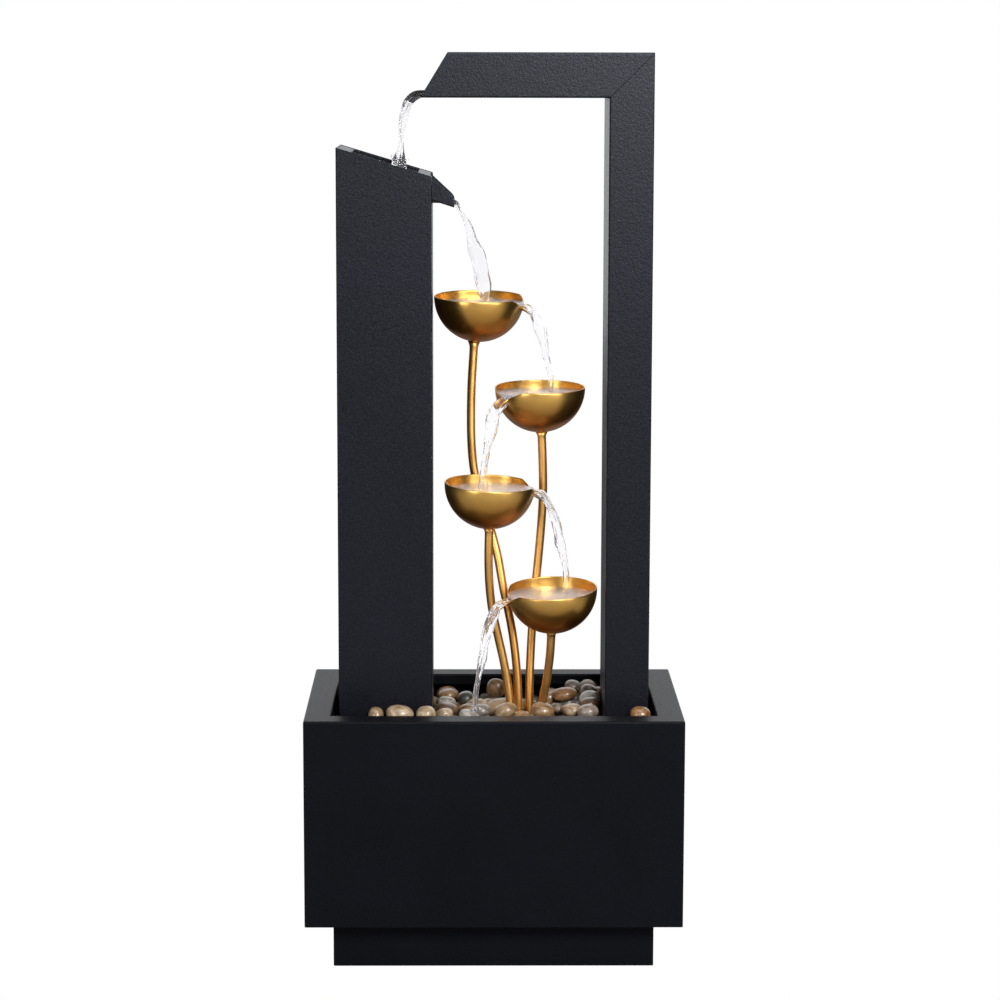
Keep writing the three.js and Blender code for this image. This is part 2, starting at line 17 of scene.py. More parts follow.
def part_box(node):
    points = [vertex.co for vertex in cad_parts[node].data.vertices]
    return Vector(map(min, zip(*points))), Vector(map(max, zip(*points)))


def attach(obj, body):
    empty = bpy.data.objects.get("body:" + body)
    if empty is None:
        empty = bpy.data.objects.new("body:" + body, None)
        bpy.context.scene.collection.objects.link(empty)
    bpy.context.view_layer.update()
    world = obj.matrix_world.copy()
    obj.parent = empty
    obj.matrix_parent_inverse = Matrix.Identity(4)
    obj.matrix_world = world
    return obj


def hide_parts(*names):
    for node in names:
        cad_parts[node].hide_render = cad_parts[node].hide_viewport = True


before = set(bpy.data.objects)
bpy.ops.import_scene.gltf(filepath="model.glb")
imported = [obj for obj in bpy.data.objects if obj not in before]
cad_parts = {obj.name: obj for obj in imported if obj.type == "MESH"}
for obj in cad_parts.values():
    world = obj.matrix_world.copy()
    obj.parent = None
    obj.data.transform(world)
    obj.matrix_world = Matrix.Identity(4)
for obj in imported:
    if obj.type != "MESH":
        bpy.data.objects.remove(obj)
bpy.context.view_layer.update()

MM = 0.001

# %% [markdown]
# ## Camera
# The camera stands straight ahead, level with the arch's top, and looks down a little through a long
# lens. Its place and lens decide how the straight edges of the basin and the arch draw together.

# %% Camera
CAMERA_PLACE = np.array([-22.4, -2680.8, 841.4]) * MM
CAMERA_YAW, CAMERA_PITCH, CAMERA_ROLL = np.radians([0.606, 8.778, 0.136])
CAMERA_LENS = 103.48


def camera_axes(yaw, pitch, roll):
    """Right, up and backward directions: forward is turned by the yaw and tipped down by the pitch."""
    forward = np.array([math.sin(yaw) * math.cos(pitch), math.cos(yaw) * math.cos(pitch), -math.sin(pitch)])
    level = np.array([math.cos(yaw), -math.sin(yaw), 0.0])
    rise = np.cross(level, forward)
    right = math.cos(roll) * level + math.sin(roll) * rise
    up = -math.sin(roll) * level + math.cos(roll) * rise
    return right, up, -forward


camera = bpy.data.objects.new("camera", bpy.data.cameras.new("camera"))
camera.data.lens = CAMERA_LENS
camera.data.sensor_width = 36  # mm
camera.data.clip_end = 30  # m
turn = Matrix.Identity(4)
for column, axis in enumerate(camera_axes(CAMERA_YAW, CAMERA_PITCH, CAMERA_ROLL)):
    for row in range(3):
        turn[row][column] = axis[row]
camera.matrix_world = Matrix.Translation(CAMERA_PLACE) @ turn
bpy.context.scene.collection.objects.link(camera)
bpy.context.scene.camera = camera
print("camera height in mm:", round(camera.matrix_world.translation.z / MM))

# %% [markdown]
# ## Grids into meshes
# Nearly every new piece is a grid of points worked out by a formula. These helpers number the grid's
# quads, turn them outwards, join grids that belong to one piece, and put the result into a mesh.

# %% Mesh helpers
def grid_quads(rows, columns, close_rows=False, close_columns=True):
    """Corner numbers of a grid's quads; a closed direction joins its last line to its first."""
    i = np.arange(rows if close_rows else rows - 1)
    j = np.arange(columns if close_columns else columns - 1)
    a, b = np.meshgrid(i, j, indexing="ij")
    a2, b2 = (a + 1) % rows, (b + 1) % columns
    quads = [a * columns + b, a2 * columns + b, a2 * columns + b2, a * columns + b2]
    return np.stack(quads, -1).reshape(-1, 4)


def outward(points, quads):
    """The signed volume is the sum over the quads' triangles of a . (b x c) / 6; below zero, flip."""
    a, b, c, d = (points[quads[:, k]] for k in range(4))
    volume = np.einsum("ij,ij->", a, np.cross(b, c)) + np.einsum("ij,ij->", a, np.cross(c, d))
    return quads if volume > 0 else quads[:, ::-1]


def grid_part(grid, close_rows=False, close_columns=True):
    """A rows x columns x 3 grid as points and outward quads."""
    rows, columns = grid.shape[:2]
    points = grid.reshape(-1, 3)
    return points, outward(points, grid_quads(rows, columns, close_rows, close_columns))


def joined(parts):
    """Several (points, quads) parts as one, each part's numbers moved past the last part's."""
    starts = np.cumsum([0] + [len(points) for points, _ in parts[:-1]])
    quads = [quads + start for (_, quads), start in zip(parts, starts)]
    return np.concatenate([points for points, _ in parts]), np.concatenate(quads)


HAIR = 1e-7  # m


def make_piece(name, part, material, smooth=True, nodes=(), values=None):
    """Points and quads as an object on the root body; points closer than a hair are merged.

    The merge closes the poles. values maps an attribute's name to its number or vector at each point."""
    points, quads = part
    mesh = bpy.data.meshes.new(name)
    mesh.from_pydata(points.tolist(), [], quads.tolist())
    for key, data in (values or {}).items():
        wide = np.ndim(data) > 1
        made = mesh.attributes.new(key, "FLOAT_VECTOR" if wide else "FLOAT", "POINT")
        made.data.foreach_set("vector" if wide else "value", np.asarray(data, np.float32).ravel())
    work = bmesh.new()
    work.from_mesh(mesh)
    bmesh.ops.remove_doubles(work, verts=work.verts, dist=HAIR)
    work.to_mesh(mesh)
    work.free()
    mesh.polygons.foreach_set("use_smooth", np.full(len(mesh.polygons), smooth))
    mesh.materials.append(material)
    piece = bpy.data.objects.new(name, mesh)
    bpy.context.scene.collection.objects.link(piece)
    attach(piece, "root")
    if nodes:
        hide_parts(*nodes)
    print(f"{name}: {len(mesh.vertices)} points, {len(mesh.polygons)} faces")
    return piece


def with_ends(grid, first, last):
    """A run of rings with a row of equal points before and after it, which draws its ends shut."""
    ends = [np.broadcast_to(point, grid[:1].shape) for point in (first, last)]
    return np.concatenate([ends[0], grid, ends[1]])


def ball_grid(rows, columns):
    """A unit ball from pole to pole: sin down times cos and sin round, and cos down."""
    down = np.linspace(0, np.pi, rows)[:, None]
    about = np.linspace(0, 2 * np.pi, columns, endpoint=False)[None]
    level = np.stack([np.cos(about), np.sin(about)], -1) * np.sin(down)[..., None]
    return np.concatenate([level, np.broadcast_to(np.cos(down)[..., None], (rows, columns, 1))], -1)


def repeated_part(grids):
    """Many grids of one size, all turned alike, as one part in metres; grids is many x rows x columns x 3."""
    count, rows, columns = grids.shape[:3]
    quads = outward(grids[0].reshape(-1, 3), grid_quads(rows, columns))
    starts = np.arange(count) * rows * columns
    return grids.reshape(-1, 3) * MM, (quads[None] + starts[:, None, None]).reshape(-1, 4)


def corners_mm(node):
    """A CAD node's lowest and highest corners, in millimetres."""
    low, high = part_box(node)
    return np.array(low) / MM, np.array(high) / MM


def node_points(node):
    """A CAD node's own mesh points in millimetres, each place once."""
    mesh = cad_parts[node].data
    flat = np.empty(3 * len(mesh.vertices), np.float32)
    mesh.vertices.foreach_get("co", flat)
    return np.unique(np.round(flat.reshape(-1, 3) / MM, 2), axis=0)


# %% [markdown]
# ## Node helpers
# Materials are built from a few repeated moves: add a node, set its inputs, link it. Effects that
# more than one finish uses are node groups with named inputs, built once.

# %% Node helpers
def add_node(tree, kind, inputs=None, **settings):
    """A node with its settings, its plain input values, and its links where an input is a socket."""
    node = tree.nodes.new(kind)
    for key, value in settings.items():
        setattr(node, key, value)
    for key, value in (inputs or {}).items():
        if isinstance(value, bpy.types.NodeSocket):
            tree.links.new(value, node.inputs[key])
        else:
            node.inputs[key].default_value = value
    return node


def ramp(tree, factor, stops, interpolation="LINEAR"):
    """A Color Ramp with the given (position, colour) stops; returns its colour output."""
    node = add_node(tree, "ShaderNodeValToRGB", {"Fac": factor})
    node.color_ramp.interpolation = interpolation
    elements = node.color_ramp.elements
    while len(elements) < len(stops):
        elements.new(0.5)
    for element, (position, colour) in zip(elements, stops):
        element.position = position
        element.color = (*colour, 1)
    return node.outputs["Color"]


def span(tree, value, low, high, to_low, to_high):
    """Map Range: the value's span from low to high becomes to_low to to_high."""
    inputs = {"Value": value, "From Min": low, "From Max": high, "To Min": to_low, "To Max": to_high}
    return add_node(tree, "ShaderNodeMapRange", inputs).outputs["Result"]


def mix(tree, factor, first, second):
    """A colour mix of two colours or sockets."""
    node = add_node(tree, "ShaderNodeMix", data_type="RGBA")
    for socket, value in zip((node.inputs[0], node.inputs[6], node.inputs[7]), (factor, first, second)):
        if isinstance(value, bpy.types.NodeSocket):
            tree.links.new(value, socket)
        elif isinstance(value, tuple):
            socket.default_value = (*value, 1)
        else:
            socket.default_value = value
    return node.outputs[2]


def new_material(name):
    """An empty node material with its output node; returns both and the tree."""
    material = bpy.data.materials.new(name)
    material.use_nodes = True
    tree = material.node_tree
    tree.nodes.clear()
    return material, tree, tree.nodes.new("ShaderNodeOutputMaterial")


def object_place(tree):
    """Object coordinates, which stay with the piece when it moves."""
    return add_node(tree, "ShaderNodeTexCoord").outputs["Object"]


def bump(tree, height, strength, distance):
    """A height turned into a bent normal, for heights of up to distance in metres."""
    inputs = {"Height": height, "Strength": strength, "Distance": distance}
    return add_node(tree, "ShaderNodeBump", inputs).outputs["Normal"]


def surface(tree, out, inputs):
    """The material's Principled shader with its inputs, linked to the output."""
    tree.links.new(add_node(tree, "ShaderNodeBsdfPrincipled", inputs).outputs[0], out.inputs["Surface"])


def new_group(name, inputs, outputs):
    """A shader node group with named float or vector sockets."""
    kinds = {"float": "NodeSocketFloat", "vector": "NodeSocketVector"}
    group = bpy.data.node_groups.new(name, "ShaderNodeTree")
    for socket, (kind, value) in inputs.items():
        made = group.interface.new_socket(socket, in_out="INPUT", socket_type=kinds[kind])
        if value is not None:
            made.default_value = value
    for socket, kind in outputs.items():
        group.interface.new_socket(socket, in_out="OUTPUT", socket_type=kinds[kind])
    return group, group.nodes.new("NodeGroupInput"), group.nodes.new("NodeGroupOutput")


def use_group(tree, group, inputs):
    """The group placed in a material with its own values."""
    return add_node(tree, "ShaderNodeGroup", inputs, node_tree=group)


def noise(tree, vector, scale, detail=3.0, roughness=0.5):
    """A Noise Texture's grey output on the given coordinates."""
    inputs = {"Vector": vector, "Scale": scale, "Detail": detail, "Roughness": roughness}
    return add_node(tree, "ShaderNodeTexNoise", inputs).outputs["Fac"]


# %% [markdown]
# ## Shared effects
# *Coat grain* is the fine orange-peel and speckle of a textured powder coat. *Brushed* is fine lines
# that run round or along a metal piece. Both also give *Cloud*, a slow change for colour and gloss, as
# dust, lime and finger marks leave it.

# %% Effect: coat grain
def build_coat_grain():
    """Two noises: one at the size of a coat's grain for bump, one for pale specks."""
    group, given, out = new_group(
        "coat_grain",
        {"Vector": ("vector", None), "Grain per metre": ("float", 900.0)},
        {"Height": "float", "Specks": "float", "Cloud": "float"},
    )
    vector, scale = given.outputs["Vector"], given.outputs["Grain per metre"]
    fine = noise(group, vector, scale, 2.0, 0.6)
    half = add_node(group, "ShaderNodeMath", {0: scale, 1: 0.37}, operation="MULTIPLY").outputs[0]
    broad = noise(group, vector, half, 2.0, 0.5)
    height = add_node(group, "ShaderNodeMath", {0: fine, 1: broad}, operation="ADD").outputs[0]
    specks = span(group, fine, 0.56, 0.74, 0.0, 1.0)
    cloud = noise(group, vector, 9.0, 4.0, 0.6)
    group.links.new(height, out.inputs["Height"])
    group.links.new(specks, out.inputs["Specks"])
    group.links.new(cloud, out.inputs["Cloud"])
    return group


COAT_GRAIN = build_coat_grain()


# %% Effect: brushed lines
def build_brushed():
    """Noise read on stretched coordinates, so that it draws out into lines."""
    group, given, out = new_group(
        "brushed",
        {"Vector": ("vector", None), "Stretch": ("vector", (40.0, 40.0, 900.0)),
         "Low": ("float", 0.2), "High": ("float", 0.35)},
        {"Roughness": "float", "Height": "float", "Cloud": "float"},
    )
    inputs = {0: given.outputs["Vector"], 1: given.outputs["Stretch"]}
    drawn = add_node(group, "ShaderNodeVectorMath", inputs, operation="MULTIPLY").outputs[0]
    lines = noise(group, drawn, 1.0, 3.0, 0.6)
    cloud = noise(group, given.outputs["Vector"], 22.0, 3.0, 0.55)
    both = add_node(group, "ShaderNodeMath", {0: lines, 1: cloud}, operation="ADD").outputs[0]
    rough = span(group, both, 0.7, 1.3, given.outputs["Low"], given.outputs["High"])
    group.links.new(rough, out.inputs["Roughness"])
    group.links.new(lines, out.inputs["Height"])
    group.links.new(cloud, out.inputs["Cloud"])
    return group


BRUSHED = build_brushed()

# %% [markdown]
# ## Finishes
# The basin and the columns have the same kind of textured satin powder coat. The columns' copy is a
# little bluer, and paler and glossier than the basin's; the paler, glossier copy is painted light, which
# makes the columns brighter than the basin. The bowls and stems are lacquered in a satin gold. Each
# finish below is a function, because its values are what a maker would change.

# %% Powder coat
def powder_coat(name, deep, pale, roughness, gloss):
    """Black coat: slow clouds between two near-blacks, pale specks, and a grain in the bump."""
    material, tree, out = new_material(name)
    grain = use_group(tree, COAT_GRAIN, {"Vector": object_place(tree), "Grain per metre": 1150.0})
    base = mix(tree, span(tree, grain.outputs["Cloud"], 0.3, 0.7, 0.0, 1.0), deep, pale)
    speck = add_node(tree, "ShaderNodeMath", {0: grain.outputs["Specks"], 1: 0.55}, operation="MULTIPLY")
    colour = mix(tree, speck.outputs[0], base, tuple(2.4 * c for c in pale))
    rough = span(tree, grain.outputs["Height"], 0.6, 1.4, roughness - 0.06, roughness + 0.08)
    surface(tree, out, {
        "Base Color": colour, "Roughness": rough, "Normal": bump(tree, grain.outputs["Height"], 0.30, 0.0004),
        "Specular IOR Level": gloss, "Specular Tint": (0.86, 0.88, 1.0, 1)})
    return material


# Painted shade and painted light: the basin's copy is darker and less glossy, the columns' paler and glossier, so
# the columns show brighter.
SHADED_BASIN_COAT = powder_coat("basin_coat_painted_shade", (0.0016, 0.0018, 0.0027), (0.0025, 0.0028, 0.0041), 0.41, 0.085)
LIT_COLUMN_COAT = powder_coat("column_coat_painted_light", (0.0017, 0.0019, 0.0032), (0.0028, 0.0031, 0.0055), 0.37, 0.225)


# %% Gold
def gold_finish(name, deep, pale, stretch, low, high, painted_underside_share):
    """Lacquered gold: brushed lines in roughness and bump, slow clouds, and a painted reflection underneath.

    Faces that turn to the floor mix towards a dark orange-brown, a painted reflection of the brown pebbles with
    painted shade; the share grows as the face turns down."""
    material, tree, out = new_material(name)
    place = add_node(tree, "ShaderNodeTexCoord")
    lines = use_group(tree, BRUSHED, {
        "Vector": place.outputs["Object"], "Stretch": stretch, "Low": low, "High": high})
    clouds = span(tree, lines.outputs["Cloud"], 0.35, 0.65, 0.0, 1.0)
    gold = mix(tree, clouds, deep, pale)
    facing = add_node(tree, "ShaderNodeSeparateXYZ", {0: place.outputs["Normal"]}).outputs["Z"]
    painted_underside = span(tree, facing, -0.12, -0.75, 0.0, painted_underside_share)
    # Faces turned to the floor mix towards a dark orange-brown: painted reflection of the brown pebbles, with
    # painted shade.
    colour = mix(tree, painted_underside, gold, (0.50, 0.180, 0.026))
    surface(tree, out, {
        "Base Color": colour, "Metallic": 1.0, "Roughness": lines.outputs["Roughness"],
        "Coat Weight": 0.10, "Coat Roughness": 0.20,
        "Normal": bump(tree, lines.outputs["Height"], 0.03, 0.0002)})
    return material


# The last value is the share of painted underside reflection and shade: full on the bowls, none on the stems.
BOWL_GOLD = gold_finish("bowl_gold", (0.65, 0.375, 0.090), (0.71, 0.42, 0.113), (60.0, 60.0, 700.0),
                        0.29, 0.36, 1.0)
STEM_GOLD = gold_finish("stem_gold", (0.83, 0.43, 0.115), (0.90, 0.50, 0.155), (120.0, 120.0, 9.0),
                        0.36, 0.43, 0.0)


# %% Plain technical finishes
def plain_finish(name, deep, pale, roughness, metallic=0.0, scale=120.0, stretch=None):
    """A technical finish: clouds between two colours, roughness that follows them, and fine bump."""
    material, tree, out = new_material(name)
    place = object_place(tree)
    if stretch:
        place = add_node(tree, "ShaderNodeMapping", {"Vector": place, "Scale": stretch}).outputs[0]
    cloud = noise(tree, place, scale, 4.0, 0.6)
    colour = mix(tree, span(tree, cloud, 0.3, 0.7, 0.0, 1.0), deep, pale)
    surface(tree, out, {
        "Base Color": colour, "Metallic": metallic, "Normal": bump(tree, cloud, 0.1, 0.0003),
        "Roughness": span(tree, cloud, 0.3, 0.7, roughness - 0.06, roughness + 0.06)})
    return material


RUBBER = plain_finish("moulded_rubber", (0.012, 0.012, 0.012), (0.022, 0.022, 0.022), 0.82)
STAINLESS = plain_finish("stainless_sheet", (0.40, 0.40, 0.41), (0.50, 0.50, 0.51), 0.32, 1.0, 300.0,
                         (0.05, 1.0, 1.0))
PUMP_PLASTIC = plain_finish("pump_plastic", (0.018, 0.021, 0.024), (0.028, 0.032, 0.036), 0.5)
KNOB_PLASTIC = plain_finish("knob_plastic", (0.04, 0.12, 0.22), (0.06, 0.15, 0.26), 0.48)
WHITE_CERAMIC = plain_finish("white_ceramic", (0.76, 0.74, 0.69), (0.83, 0.81, 0.77), 0.25)
ROTOR_PLASTIC = plain_finish("rotor_plastic", (0.66, 0.64, 0.60), (0.74, 0.72, 0.68), 0.42)
HOSE_PLASTIC = plain_finish("hose_plastic", (0.52, 0.58, 0.60), (0.62, 0.68, 0.70), 0.28)

# %% [markdown]
# ## Loops and rings
# Sheet metal is folded, so its corners are small arcs. A loop is a rounded rectangle seen from above;
# a ring carries a small profile round it. The basin's wall and rim, the plinth, the pillar and the
# arch's two tubes are all such rings, with tops cut level or on a slant.

# %% Loops and rings
def rounded_loop(half_x, half_y, radius, middle=(0.0, 0.0), per_corner=5):
    """Four corner arcs: each corner's centre plus its radius turned through a quarter, going round."""
    quarter = np.linspace(0, np.pi / 2, per_corner)
    angle = quarter[None, :] + np.arange(4)[:, None] * np.pi / 2
    signs = np.array([[1, 1], [-1, 1], [-1, -1], [1, -1]])
    centres = signs * np.array([half_x - radius, half_y - radius])
    arcs = radius * np.stack([np.cos(angle), np.sin(angle)], -1)
    return (centres[:, None, :] + arcs).reshape(-1, 2) + np.array(middle)


def ring_grid(profile, half_x, half_y, radius, middle=(0.0, 0.0), slant=None):
    """A closed profile of (inset, height, share of slant) carried round a rounded rectangle.

    A row's loop is the rectangle made smaller by the inset; slant(x) lifts the rows that take it."""
    rows = []
    for inset, height, share in profile:
        loop = rounded_loop(half_x - inset, half_y - inset, max(radius - inset, 0.2), middle)
        lift = slant(loop[:, 0]) * share if slant else 0.0
        rows.append(np.column_stack([loop, np.full(len(loop), height) + lift]))
    return np.array(rows)


def wall_profile(sheet, low, high, edge=0.35, low_share=0.0, high_share=1.0):
    """A standing sheet's section with small chamfers, from the outside of its foot round and back."""
    return [(0, low + edge, low_share), (0, high - edge, high_share), (edge, high, high_share),
            (sheet - edge, high, high_share), (sheet, high - edge, high_share),
            (sheet, low + edge, low_share), (sheet - edge, low, low_share), (edge, low, low_share)]


SHEET = 1.5
TUBE_CORNER = 1.6


def coated(name, part, nodes, coat=LIT_COLUMN_COAT):
    """A flat-faced sheet-metal piece in one of the two powder coats, in place of its CAD nodes."""
    return make_piece(name, part, coat, False, nodes)


# %% [markdown]
# ## Basin
# The basin is one folded and welded tank: its wall turns over a small radius into the flat rim, and the
# rim turns down again into a lip. So one profile goes round, from the tank's foot over the rim to the
# lip and back underneath. The tank's floor is a plate of its own, laid inside the wall.

# %% Basin wall, rim and floor
def basin_profile(low, high, rim, lip):
    """Outside wall, quarter turn onto the rim, flat rim, quarter turn down the lip, and back inside."""
    bend = 1.8
    turn = np.linspace(0, np.pi / 2, 5)
    outer = [(bend - bend * math.cos(a), high - bend + bend * math.sin(a)) for a in turn]
    inner = [(rim - bend + bend * math.sin(a), high - bend + bend * math.cos(a)) for a in turn]
    back = [(rim, high - lip), (rim - SHEET, high - lip), (rim - SHEET, high - SHEET),
            (SHEET, high - SHEET), (SHEET, low), (0, low)]
    return [(inset, height, 0.0) for inset, height in outer + inner + back]


tank_low = corners_mm("basin_tank")[0]
rim_low, rim_high = corners_mm("rim_frame")
RIM_WIDTH = 25.0
half_w, half_d = rim_high[0], rim_high[1]
profile = basin_profile(tank_low[2], rim_high[2], RIM_WIDTH, rim_high[2] - rim_low[2])
BASIN_CORNER = 2.0
wall = ring_grid(profile, half_w, half_d, BASIN_CORNER)


def slab_part(low, high):
    """A plain plate from its lowest to its highest corner: two rings of four points and two lids."""
    corner = np.array([[0, 0], [1, 0], [1, 1], [0, 1]])
    rings = [np.column_stack([low[:2] + corner * (high - low)[:2], np.full(4, z)]) for z in (low[2], high[2])]
    points = np.concatenate(rings) * MM
    lids = np.array([[3, 2, 1, 0], [4, 5, 6, 7]])
    return points, outward(points, np.concatenate([grid_quads(2, 4)[:, ::-1], lids]))


FLOOR_GAP, FLOOR_TOP = 0.1, 2.0
floor_half = np.array([half_w - SHEET - FLOOR_GAP, half_d - SHEET - FLOOR_GAP])
floor = slab_part(np.array([*-floor_half, tank_low[2] + FLOOR_GAP]),
                  np.array([*floor_half, tank_low[2] + FLOOR_TOP]))
basin = coated("basin_shell", joined([grid_part(wall * MM, close_rows=True), floor]),
               ("basin_tank", "rim_frame"), SHADED_BASIN_COAT)

# %% [markdown]
# The plinth is a set-back ring of the same sheet, with a flange turned inwards over the floor pads. It
# is one more profile carried round a rounded rectangle.

# %% Plinth
plinth_low, plinth_high = corners_mm("plinth")
FLANGE, FLANGE_UNDER, FOOT_CHAMFER = 24.0, 2.0, 0.3
profile = [(0, plinth_low[2] + FOOT_CHAMFER), (0, plinth_high[2]), (SHEET, plinth_high[2]),
           (SHEET, FLANGE_UNDER + SHEET), (FLANGE, FLANGE_UNDER + SHEET), (FLANGE, FLANGE_UNDER),
           (SHEET, FLANGE_UNDER), (SHEET, plinth_low[2]), (FOOT_CHAMFER, plinth_low[2])]
profile = [(inset, height, 0.0) for inset, height in profile]
grid = ring_grid(profile, plinth_high[0], plinth_high[1], SHEET)
coated("plinth_ring", grid_part(grid * MM, close_rows=True), ("plinth",), SHADED_BASIN_COAT)

# %% [markdown]
# ## Pillar
# The pillar is a tall box tube whose top is cut on a slant, higher on the left. A plate with a long slot
# closes most of it. On the right a thin chute comes out through a cut in the wall.

# %% Pillar tube
PILLAR_LEFT_TOP, PILLAR_RIGHT_TOP = 759.0, 733.0
shell_low, shell_high = corners_mm("pillar_shell")
pillar_mid = (shell_low + shell_high) / 2
pillar_half = (shell_high - shell_low) / 2
SLOPE = (PILLAR_RIGHT_TOP - PILLAR_LEFT_TOP) / (shell_high[0] - shell_low[0])


def pillar_slant(x):
    """Height of the slanted top above its level at the pillar's left face: a straight line in x."""
    return SLOPE * (x - shell_low[0])


chute_low, chute_high = corners_mm("pillar_chute")
profile = wall_profile(SHEET, shell_low[2], PILLAR_LEFT_TOP)
tube = ring_grid(profile, pillar_half[0], pillar_half[1], TUBE_CORNER, pillar_mid[:2], pillar_slant)


# %% [markdown]
# The wall's cut for the chute is a real opening, and so is the hole for the cable's grommet in the
# basin's back. A boolean with a plain block or rod makes it, and the result is kept as the mesh, so that
# no modifier is left to work out again.

# %% Cuts for the chute and the cable
def cut_out(piece, part):
    """Takes a closed part from a piece's mesh with an exact boolean, and keeps the result."""
    mesh = bpy.data.meshes.new("cutter")
    mesh.from_pydata(part[0].tolist(), [], part[1].tolist())
    cutter = bpy.data.objects.new("cutter", mesh)
    bpy.context.scene.collection.objects.link(cutter)
    boolean = piece.modifiers.new("cut", "BOOLEAN")
    boolean.operation = "DIFFERENCE"
    boolean.solver = "EXACT"
    boolean.object = cutter
    graph = bpy.context.evaluated_depsgraph_get()
    result = bpy.data.meshes.new_from_object(piece.evaluated_get(graph))
    piece.modifiers.clear()
    piece.data = result
    bpy.data.objects.remove(cutter)


pillar = coated("pillar_tube", grid_part(tube * MM, close_rows=True), ("pillar_shell",))
PAST_WALL, CUT_PLAY, CUT_BOTTOM, CUT_TOP = 5.0, 0.3, 708.0, 800.0
cut_out(pillar, slab_part(np.array([shell_high[0] - PAST_WALL, chute_low[1] - CUT_PLAY, CUT_BOTTOM]),
                          np.array([shell_high[0] + PAST_WALL, chute_high[1] + CUT_PLAY, CUT_TOP])))
print("pillar after its cut:", len(pillar.data.polygons), "faces")

grommet_middle = sum(corners_mm("cable_grommet")) / 2
GROMMET_HOLE, HOLE_SIDES = 5.9, 28
angle = np.linspace(0, 2 * np.pi, HOLE_SIDES, endpoint=False)
circle = GROMMET_HOLE * np.column_stack([np.cos(angle), 0 * angle, np.sin(angle)]) + grommet_middle
rod = np.array([circle * [1, 0, 1] + [0, y, 0] for y in (half_d - PAST_WALL, half_d + PAST_WALL)])
rod = with_ends(rod, rod[0].mean(axis=0), rod[1].mean(axis=0))
cut_out(basin, grid_part(rod * MM))


# %% [markdown]
# The top plate is a flat ring between two loops, its outer edge inside the tube and its inner edge the
# slot. Both loops are lifted by the same slant as the tube's top, a little below its edge.

# %% Pillar top plate
def plate_grid(outer, inner, low, high, slant):
    """A flat ring: outer loop low and high, inner loop high and low, with slant(x) added to all."""
    return np.array([np.column_stack([loop, np.full(len(loop), height) + slant(loop[:, 0])])
                     for loop, height in ((outer, low), (outer, high), (inner, high), (inner, low))])


plate_low, plate_high = corners_mm("pillar_top_plate")
SLOT_LEFT, SLOT_RIGHT, SLOT_HALF = -131.5, -70.0, 46.5
plate_mid = (plate_low + plate_high) / 2
outer = rounded_loop(*((plate_high - plate_low)[:2] / 2), 0.6, plate_mid[:2])
inner = rounded_loop((SLOT_RIGHT - SLOT_LEFT) / 2, SLOT_HALF, 1.2, ((SLOT_LEFT + SLOT_RIGHT) / 2, 0))
plate_top = PILLAR_LEFT_TOP - 0.4
plate = plate_grid(outer, inner, plate_top - SHEET, plate_top, pillar_slant)
coated("pillar_cap", grid_part(plate * MM, close_rows=True), ("pillar_top_plate",))


# %% [markdown]
# The chute is a U of thin sheet. Its section has the same corner list at every station: down the outside
# of one side, across, up the other side, and back along the inside. Stations along x give the height of
# the floor and of the sides, which drop towards the spout's tip.

# %% Chute
def channel_grid(stations, half, sheet):
    """U sections at (x, floor height, side height) stations, closed round the sheet's thickness."""
    bend = 1.2
    rows = []
    for x, low, high in stations:
        outer = [(-half, high), (-half, low + bend), (-half + bend, low), (half - bend, low),
                 (half, low + bend), (half, high)]
        inner = [(half - sheet, high), (half - sheet, low + sheet + 0.3), (half - sheet - 0.3, low + sheet),
                 (sheet + 0.3 - half, low + sheet), (sheet - half, low + sheet + 0.3), (sheet - half, high)]
        section = np.array(outer + inner)
        rows.append(np.column_stack([np.full(len(section), x), section]))
    return np.array(rows)


def capped(grid):
    """An open run of closed sections with both ends closed by quads across the section.

    The sections' second half mirrors the first, so point k faces point n - 1 - k across the sheet."""
    rows, columns = grid.shape[:2]
    points, quads = grid.reshape(-1, 3), grid_quads(rows, columns)
    k = np.arange(columns // 2 - 1)
    cap = np.stack([k, k + 1, columns - 2 - k, columns - 1 - k], -1)
    last = cap[:, ::-1] + (rows - 1) * columns
    return points, outward(points, np.concatenate([quads, cap, last]))


THIN = 1.2
start, mouth, tip = chute_low[0], shell_high[0], chute_high[0]
x = np.array([start, mouth - 4, mouth, tip - 3.2, tip - 1.5, tip - 0.5, tip - 0.1, tip])
low = np.array([722.0, 711.1, 710.5, 705.0, 704.5, 704.2, 704.1, 704.0])
high = np.array([740.0, 731.2, 730.8, 714.7, 712.8, 711.0, 709.2, 707.6])
sections = channel_grid(np.column_stack([x, low, high]), (chute_high[1] - chute_low[1]) / 2, THIN)
BACK_HALF, BACK_LIFT = 35.9, 0.2
back = slab_part(np.array([start, -BACK_HALF, low[0] + BACK_LIFT]),
                 np.array([start + THIN, BACK_HALF, high[0]]))
coated("spout_chute", joined([capped(sections * MM), back]), ("pillar_chute",))

# %% [markdown]
# ## Arch
# The arch is two box tubes mitred at 45 degrees. The column is a ring whose top follows the mitre; the
# arm is the same ring laid on its side, with the mitre at one end and a slanted end over the pillar.

# %% Arch column and arm
post_low, post_high = corners_mm("arch_column")
arm_low, arm_high = corners_mm("arch_arm")
post_half = (post_high - post_low) / 2
post_mid = (post_low + post_high) / 2
MITRE_GAP = 0.15


def mitre_rise(x):
    """The mitre plane climbs as fast as it goes right, from the column's left face."""
    return x - post_low[0]


arm_bottom = arm_low[2]
profile = wall_profile(SHEET, post_low[2], arm_bottom - MITRE_GAP, 0.3)
post = ring_grid(profile, post_half[0], post_half[1], TUBE_CORNER, post_mid[:2], mitre_rise)
coated("arch_post", grid_part(post * MM, close_rows=True), ("arch_column",))

